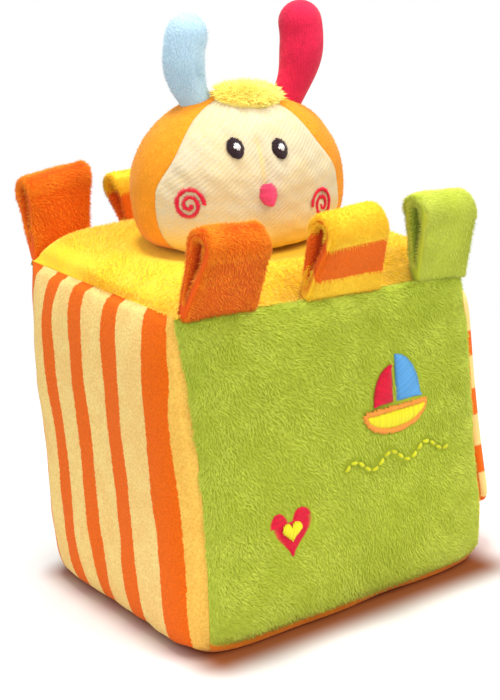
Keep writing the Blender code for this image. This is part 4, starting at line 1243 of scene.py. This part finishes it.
def build_loops(look):
    """The six ribbon loops and their pile."""
    kinds = {
        # The darker colours given with the plain ribbons are painted shade inside their folds.
        "orange": (plain_ribbon("orange ribbon", look.ribbon, linear(200, 66, 10)),
                   fibres("orange pile", look.ribbon, look.ribbon_tip, 0.4, 0.45), "orange_plush"),
        "striped": (banded_ribbon("striped ribbon", look, False),
                    banded_ribbon("striped pile", look, True), "striped_ribbon"),
        "green": (plain_ribbon("green ribbon", look.lime, linear(128, 150, 40)),
                  fibres("lime pile", toned(look.lime, 0.95), look.lime_tip, 0.3, 0.3), "green_plush"),
    }
    for name in LOOPS:
        kind = "striped" if "middle" in name else "green" if name.endswith("right") else "orange"
        cloth_finish, pile_finish, slot = kinds[kind]
        (outer, cloth), (inner, _) = loop_grid(name, 0.0002, False), loop_grid(name, 0.0014, True)
        columns, around = outer.shape[:2]
        index = np.arange(2 * columns * around).reshape(2, columns, around)
        faces = np.concatenate([quads(part, True) for part in (*index, index[:, 0], index[:, -1])])
        values = {"cloth": flat(cloth, cloth), "inner": np.repeat([0.0, 1.0], columns * around)}
        made = mesh_object(name + "_cloth", flat(outer, inner), faces, cloth_finish, values)
        settle(made, name, [name])
        loop_pile(made, name, kind, pile_finish, outer, inner, cloth)


def flap_grid(spread, sunk):
    """Rings of the flap's cloth, from its middle to its edge at level 1 and on to its back at level 2."""
    level = np.concatenate([np.linspace(0, 1, 36), np.linspace(1, 2, 9)[1:]])
    level, turn = grid(level, turns(160))
    across, up = np.cos(turn), np.sin(turn)
    fold = np.clip(level - 1, 0, 1)
    reach = np.minimum(level, 1) * (np.abs(across) ** 16 + np.abs(up) ** 16) ** (-1 / 16)
    reach = reach * (1 + spread + 0.012 * np.sin(fold * math.pi))
    back = FLAP_HALF * reach * across
    height = (FLAP_TOP + FLAP_BOTTOM) / 2 + (FLAP_TOP - FLAP_BOTTOM) / 2 * reach * up
    hang = FLAP_HANG * (np.maximum(FLAP_TOP - height, 0) / (FLAP_TOP - FLAP_BOTTOM)) ** 2.4
    quilt = 0.0003 * (1 + waves(np.stack([back, height, 0 * back], -1), 0.02, 91))
    full_lift = (FLAP_PADDING + quilt) * (1 - np.minimum(level, 1) ** 4.4)
    lift = FLAP_FOOT + FLAP_EDGE_THICK * (1 - fold) + hang + full_lift
    return on_right(back, height, lift - sunk * np.clip(2 - level, 0, 1))


def build_flap(look):
    """The padded flap: its printed front, which wraps round its edge, and its back."""
    outer, inner = flap_grid(0.0, 0.0), flap_grid(-0.02, 0.0012)
    made = shell("flap_front_print", outer, inner, printed_flap(look), True, {"cloth": flat(outer, inner)})
    settle(made, "flap", ["flap_front_cloth"])
    orange = velour("orange velour", look.orange)
    soft_copy("flap_back_print", "flap_back_cloth", orange, "flap", 0.00003, 0.00003)


def build_pictures(look):
    """The sewn boat, heart and line of running stitch on the front."""
    crimson = thread("deep crimson thread", look.crimson)
    yellow = thread("yellow thread", look.yellow_thread)
    orange = thread("orange thread", look.orange_thread)
    blue = thread("blue thread", look.blue_thread)
    olive = thread("olive thread", look.wave_thread)

    def sew(node, finish, slot, runs, radius=0.00028, rise=0.0010):
        stitches(node, "block", finish, slot, runs, on_front, radius, rise, 0.0005)

    edge = hull_outline(0.0008)
    rim = along_path(np.concatenate([edge, edge[:1]]), 0.0018, WIDE_PITCH)
    sew("boat_hull", orange, "orange_thread", rim)
    middle = satin(hull_outline(0.0014), math.pi / 2 - 0.1, WIDE_PITCH)
    sew("boat_hull_middle", yellow, "yellow_thread", middle, rise=0.0011)
    sew("boat_sail_blue", blue, "blue_thread", satin(sail_outline(1, 1.0), 0.5, SATIN_PITCH))
    sew("boat_sail_crimson", crimson, "crimson_thread", satin(sail_outline(-1, 0.8), -0.5, SATIN_PITCH))
    sew("heart", crimson, "crimson_thread", satin(heart_outline(HEART_WIDE), 0.1, SATIN_PITCH))
    middle = satin(heart_outline(HEART_MIDDLE_WIDE), 1.3, WIDE_PITCH)
    sew("heart_middle", yellow, "yellow_thread", middle, rise=0.0019)
    stitch, pitch, path = 0.0022, 0.0031, wave_path()
    starts = np.arange(0, travel(path)[-1] - stitch, pitch)
    running = np.stack([at_travel(path, starts + more) for more in (0.0, stitch)], 1)
    sew("wave_stitching", olive, "yellow_thread", running, radius=0.00060, rise=0.0017)


# The studio


def floor_finish(studio):
    """The pale floor with a painted contact shadow close round the block's foot, fading out with distance.
    """
    paint = bpy.data.materials.new("pale floor")
    paint.use_nodes = True
    tree = paint.node_tree
    shader = tree.nodes["Principled BSDF"]
    shader.inputs["Roughness"].default_value = 0.9
    shader.inputs["Specular IOR Level"].default_value = 0.0
    spot = add(tree, "ShaderNodeNewGeometry").outputs["Position"]
    away = place_maths(tree, "ABSOLUTE", place_maths(tree, "ADD", spot, SHADOW_SHIFT))
    away = place_maths(tree, "SUBTRACT", away, (HALF[0] - 0.008, HALF[1] - 0.004, 0))
    away = place_maths(tree, "LENGTH", place_maths(tree, "MAXIMUM", away))
    # Painted shadow: the floor turns brown near the block's foot, standing in for its contact shadow.
    tint = mix(tree, ramp(tree, away, 0.0, SHADOW_REACH), full(studio.floor_painted_shadow), full(studio.floor))
    tree.links.new(tint, shader.inputs["Base Color"])
    fade = ramp(tree, place_maths(tree, "LENGTH", spot), FADE_START, FADE_END)
    clear = add(tree, "ShaderNodeBsdfTransparent")
    both = add(tree, "ShaderNodeMixShader", None, {0: fade, 1: shader.outputs[0], 2: clear.outputs[0]})
    tree.links.new(both.outputs[0], tree.nodes["Material Output"].inputs[0])
    return paint


def build_lamp(name, spot, power, size, tint=(1.0, 1.0, 1.0)):
    """A square soft lamp turned to the block."""
    lamp = bpy.data.lights.new(name, "AREA")
    lamp.energy, lamp.size, lamp.color = power, size, tint
    holder = link(name, lamp)
    holder.location = spot
    holder.rotation_euler = (LAMP_AIM - Vector(spot)).to_track_quat("-Z", "Y").to_euler()
    return holder


def build_world(strength):
    """Even light from all round, in front of a white background."""
    world = bpy.data.worlds.new("studio")
    bpy.context.scene.world = world
    world.use_nodes = True
    tree = world.node_tree
    light = tree.nodes["Background"]
    light.inputs["Color"].default_value = WHITE
    light.inputs["Strength"].default_value = strength
    seen = add(tree, "ShaderNodeBackground", None, {"Color": WHITE, "Strength": 1.0})
    camera_ray = add(tree, "ShaderNodeLightPath").outputs["Is Camera Ray"]
    both = add(tree, "ShaderNodeMixShader", None, {0: camera_ray, 1: light.outputs[0], 2: seen.outputs[0]})
    tree.links.new(both.outputs[0], tree.nodes["World Output"].inputs[0])


def build_camera(studio):
    """The camera that stands where the photograph was taken."""
    azimuth, elevation, roll = studio.azimuth, studio.elevation, studio.roll
    reach = math.cos(elevation)
    back = Vector((math.sin(azimuth) * reach, -math.cos(azimuth) * reach, math.sin(elevation)))
    right = Vector((math.cos(azimuth), math.sin(azimuth), 0))
    up = back.cross(right)
    axes = (right * math.cos(roll) + up * math.sin(roll), up * math.cos(roll) - right * math.sin(roll), back)
    camera = bpy.data.cameras.new("camera")
    camera.lens, camera.sensor_width, camera.clip_start = studio.lens, 36, 0.01
    holder = link("camera", camera)
    place = Matrix.Translation(CAMERA_AIM + back * studio.distance)
    holder.matrix_world = place @ Matrix(axes).transposed().to_4x4()
    bpy.context.scene.camera = holder


def build_stage(studio):
    """A pale floor that fades out, soft lights and the photograph's camera."""
    mesh = bpy.data.meshes.new("floor")
    mesh.from_pydata([(-3, -3, 0), (3, -3, 0), (3, 3, 0), (-3, 3, 0)], [], [(0, 1, 2, 3)])
    mesh.materials.append(floor_finish(studio))
    floor = link("floor", mesh)
    lamps = [build_lamp("key", KEY_SPOT, studio.key, 0.5, (1.0, 0.99, 0.97)),
             build_lamp("fill", FILL_SPOT, studio.fill, 0.8),
             build_lamp("top", TOP_SPOT, studio.top, 0.25)]
    build_world(studio.ambient)
    build_camera(studio)
    bpy.context.scene.view_settings.view_transform = "Standard"


# The add-on


def linear(red, green, blue):
    """A colour given as it looks on a screen, 0 to 255, as a linear colour."""
    shares = [channel / 255 for channel in (red, green, blue)]
    return tuple(s / 12.92 if s <= 0.04045 else ((s + 0.055) / 1.055) ** 2.4 for s in shares)


def colour(name, text, value):
    """A colour setting, given as it looks on a screen."""
    shade = linear(*value)
    return FloatVectorProperty(name=name, description=text, subtype="COLOR", min=0, max=1, default=shade)


def number(name, text, value, measure="NONE", low=0.0):
    """A length, power or plain number setting."""
    return FloatProperty(name=name, description=text, default=value, unit=measure, min=low, precision=5)


def count(name, text, value):
    """A setting for a number of tufts."""
    return IntProperty(name=name, description=text, default=value, min=100)


def angle(name, text, degrees):
    """An angle setting, given in degrees."""
    value = math.radians(degrees)
    return FloatProperty(name=name, description=text, default=value, subtype="ANGLE", unit="ROTATION")


class PlayBlockLook(bpy.types.PropertyGroup):
    """Colours and pile of the play block's pieces."""
    # Root colours of the pile are darker as painted shade between the tufts; tip colours are lighter as a
    # painted highlight.
    green: colour("Green plush", "Roots of the front and back panels' pile", (177, 192, 50))
    green_tip: colour("Green tips", "Tips of the front and back panels' pile", (204, 215, 88))
    yellow: colour("Yellow plush", "Top panel", (252, 208, 40))
    yellow_tip: colour("Yellow tips", "Tips of the top panel's pile", (255, 218, 102))
    stripe: colour("Stripe", "Dark stripes of the side panel and flap", (228, 100, 2))
    cream: colour("Cream", "Pale stripes of the side panel and flap", (237, 210, 132))
    seam: colour("Seam cloth", "Pale cloth along the striped panel's front seam", (236, 192, 90))
    orange: colour("Orange velour", "Right and bottom panels", (240, 138, 36))
    gusset: colour("Head sides", "Sides of the head", (240, 152, 32))
    face: colour("Face", "Face velour", (206, 195, 168))
    # Painted reflection of the yellow top low on the chin, and painted shade in the dart; the face's mottle
    # and ribs lean to this colour too.
    face_reflection_and_shade: colour("Face shade", "Face velour low on the chin", (236, 196, 68))
    hair: colour("Hair", "Roots of the hair", (254, 210, 48))
    hair_tip: colour("Hair tips", "Tips of the hair", (255, 242, 140))
    blue: colour("Blue antenna", "Blue antenna's pile", (176, 208, 224))
    blue_tip: colour("Blue tips", "Tips of the blue antenna's pile", (208, 228, 238))
    pink: colour("Pink antenna", "Pink antenna's knit", (228, 38, 76))
    eye: colour("Eyes", "Dark thread", (44, 24, 30))
    nose: colour("Nose", "Pink thread", (236, 72, 112))
    spiral: colour("Cheeks", "Thread of the cheek spirals", (226, 30, 62))
    crimson: colour("Crimson thread", "Heart and sail", (212, 16, 52))
    yellow_thread: colour("Yellow thread", "Hull and the heart's middle", (236, 222, 40))
    orange_thread: colour("Orange thread", "Rim of the hull", (238, 150, 58))
    blue_thread: colour("Blue thread", "Sail", (88, 158, 212))
    wave_thread: colour("Wave thread", "Running stitch", (206, 206, 36))
    ribbon: colour("Orange ribbon", "Orange loops", (220, 86, 2))
    ribbon_tip: colour("Orange ribbon tips", "Tips of the orange loops' pile", (255, 158, 40))
    band: colour("Ribbon band", "Dark band of the striped loops", (232, 108, 22))
    band_yellow: colour("Ribbon yellow", "Pale band of the striped loops", (252, 210, 54))
    lime: colour("Lime ribbon", "Lime loops", (184, 198, 60))
    lime_tip: colour("Lime tips", "Tips of the lime loops' pile", (216, 222, 102))
    pile_height: number("Pile height", "How far the panels' pile stands out", 0.0009, "LENGTH")
    pile_lay: number("Pile lay", "How far the panels' pile leans along the cloth", 0.0014, "LENGTH")
    pile_width: number("Tuft width", "Width of a tuft of pile", 0.00060, "LENGTH", 0.00005)
    front_tufts: count("Front tufts", "Tufts on the front and on the back", 46000)
    top_tufts: count("Top tufts", "Tufts on the top", 24000)


class PlayBlockStudio(bpy.types.PropertyGroup):
    """Floor, lights and camera of the studio."""
    floor: colour("Floor", "Studio floor", (234, 230, 229))
    # Colour of the floor's painted contact shadow round the block.
    floor_painted_shadow: colour("Floor shade", "Studio floor close round the block", (146, 84, 48))
    key: number("Key light", "Power of the key light", 5.5, "POWER")
    fill: number("Fill light", "Power of the fill light", 4.0, "POWER")
    top: number("Top light", "Power of the light over the block", 9.5, "POWER")
    ambient: number("Ambient", "Strength of the light from all round", 0.68)
    azimuth: angle("Azimuth", "Camera's direction", -32.44)
    elevation: angle("Elevation", "Camera's height angle", 15.25)
    roll: angle("Roll", "Camera's roll", -4.72)
    lens: number("Lens", "Camera's focal length in millimetres", 78.9, "CAMERA", 10)
    distance: number("Distance", "Camera's distance", 0.5, "LENGTH", 0.1)


class BuildStep:
    """Shared part of the operators: each runs one build function on one group of settings."""
    bl_options = {"REGISTER", "UNDO"}
    settings = "play_block_look"

    def execute(self, context):
        self.build(getattr(context.scene, self.settings))
        return {"FINISHED"}


class PLAYBLOCK_OT_cover(BuildStep, bpy.types.Operator):
    """Builds the block's six panels and their pile"""
    bl_idname = "playblock.cover"
    bl_label = "Block cloth"
    build = staticmethod(build_cover)


class PLAYBLOCK_OT_filling(BuildStep, bpy.types.Operator):
    """Builds the fibre filling and the neck"""
    bl_idname = "playblock.filling"
    bl_label = "Filling"
    build = staticmethod(build_filling)


class PLAYBLOCK_OT_rattle(BuildStep, bpy.types.Operator):
    """Gives the rattle capsule and its beads their finish"""
    bl_idname = "playblock.rattle"
    bl_label = "Rattle"
    build = staticmethod(build_rattle)


class PLAYBLOCK_OT_head(BuildStep, bpy.types.Operator):
    """Builds the head's cloth"""
    bl_idname = "playblock.head"
    bl_label = "Head cloth"
    build = staticmethod(build_head)


class PLAYBLOCK_OT_hair(BuildStep, bpy.types.Operator):
    """Builds the tuft of hair"""
    bl_idname = "playblock.hair"
    bl_label = "Hair"
    build = staticmethod(build_hair)


class PLAYBLOCK_OT_face(BuildStep, bpy.types.Operator):
    """Sews the eyes, nose and cheeks"""
    bl_idname = "playblock.face"
    bl_label = "Face stitching"
    build = staticmethod(build_face)


class PLAYBLOCK_OT_antennae(BuildStep, bpy.types.Operator):
    """Builds the antennae"""
    bl_idname = "playblock.antennae"
    bl_label = "Antennae"
    build = staticmethod(build_antennae)


class PLAYBLOCK_OT_loops(BuildStep, bpy.types.Operator):
    """Builds the ribbon loops"""
    bl_idname = "playblock.loops"
    bl_label = "Ribbon loops"
    build = staticmethod(build_loops)


class PLAYBLOCK_OT_flap(BuildStep, bpy.types.Operator):
    """Builds the side flap"""
    bl_idname = "playblock.flap"
    bl_label = "Flap"
    build = staticmethod(build_flap)


class PLAYBLOCK_OT_pictures(BuildStep, bpy.types.Operator):
    """Sews the front's pictures"""
    bl_idname = "playblock.pictures"
    bl_label = "Pictures"
    build = staticmethod(build_pictures)


class PLAYBLOCK_OT_stage(BuildStep, bpy.types.Operator):
    """Builds the floor, lights and camera"""
    bl_idname = "playblock.stage"
    bl_label = "Studio"
    settings = "play_block_studio"
    build = staticmethod(build_stage)


OPERATORS = (PLAYBLOCK_OT_cover, PLAYBLOCK_OT_filling, PLAYBLOCK_OT_rattle, PLAYBLOCK_OT_head,
             PLAYBLOCK_OT_hair, PLAYBLOCK_OT_face, PLAYBLOCK_OT_antennae, PLAYBLOCK_OT_loops,
             PLAYBLOCK_OT_flap, PLAYBLOCK_OT_pictures, PLAYBLOCK_OT_stage)
SETTINGS = {"play_block_look": PlayBlockLook, "play_block_studio": PlayBlockStudio}


class PLAYBLOCK_PT_panel(bpy.types.Panel):
    """Settings and build steps of the play block"""
    bl_label = "Play block"
    bl_idname = "PLAYBLOCK_PT_panel"
    bl_space_type = "VIEW_3D"
    bl_region_type = "UI"
    bl_category = "Play block"

    def draw(self, context):
        for settings, kind in SETTINGS.items():
            for key in kind.__annotations__:
                self.layout.prop(getattr(context.scene, settings), key)
        for operator in OPERATORS:
            self.layout.operator(operator.bl_idname)


CLASSES = (*SETTINGS.values(), *OPERATORS, PLAYBLOCK_PT_panel)


def register():
    for item in CLASSES:
        bpy.utils.register_class(item)
    for settings, kind in SETTINGS.items():
        setattr(bpy.types.Scene, settings, PointerProperty(type=kind))


def unregister():
    for settings in SETTINGS:
        delattr(bpy.types.Scene, settings)
    for item in reversed(CLASSES):
        bpy.utils.unregister_class(item)


def main():
    """Builds the whole block."""
    register()
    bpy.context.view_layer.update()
    for operator in OPERATORS:
        getattr(bpy.ops.playblock, operator.bl_idname.split(".")[1])()


if __name__ == "__main__":
    main()
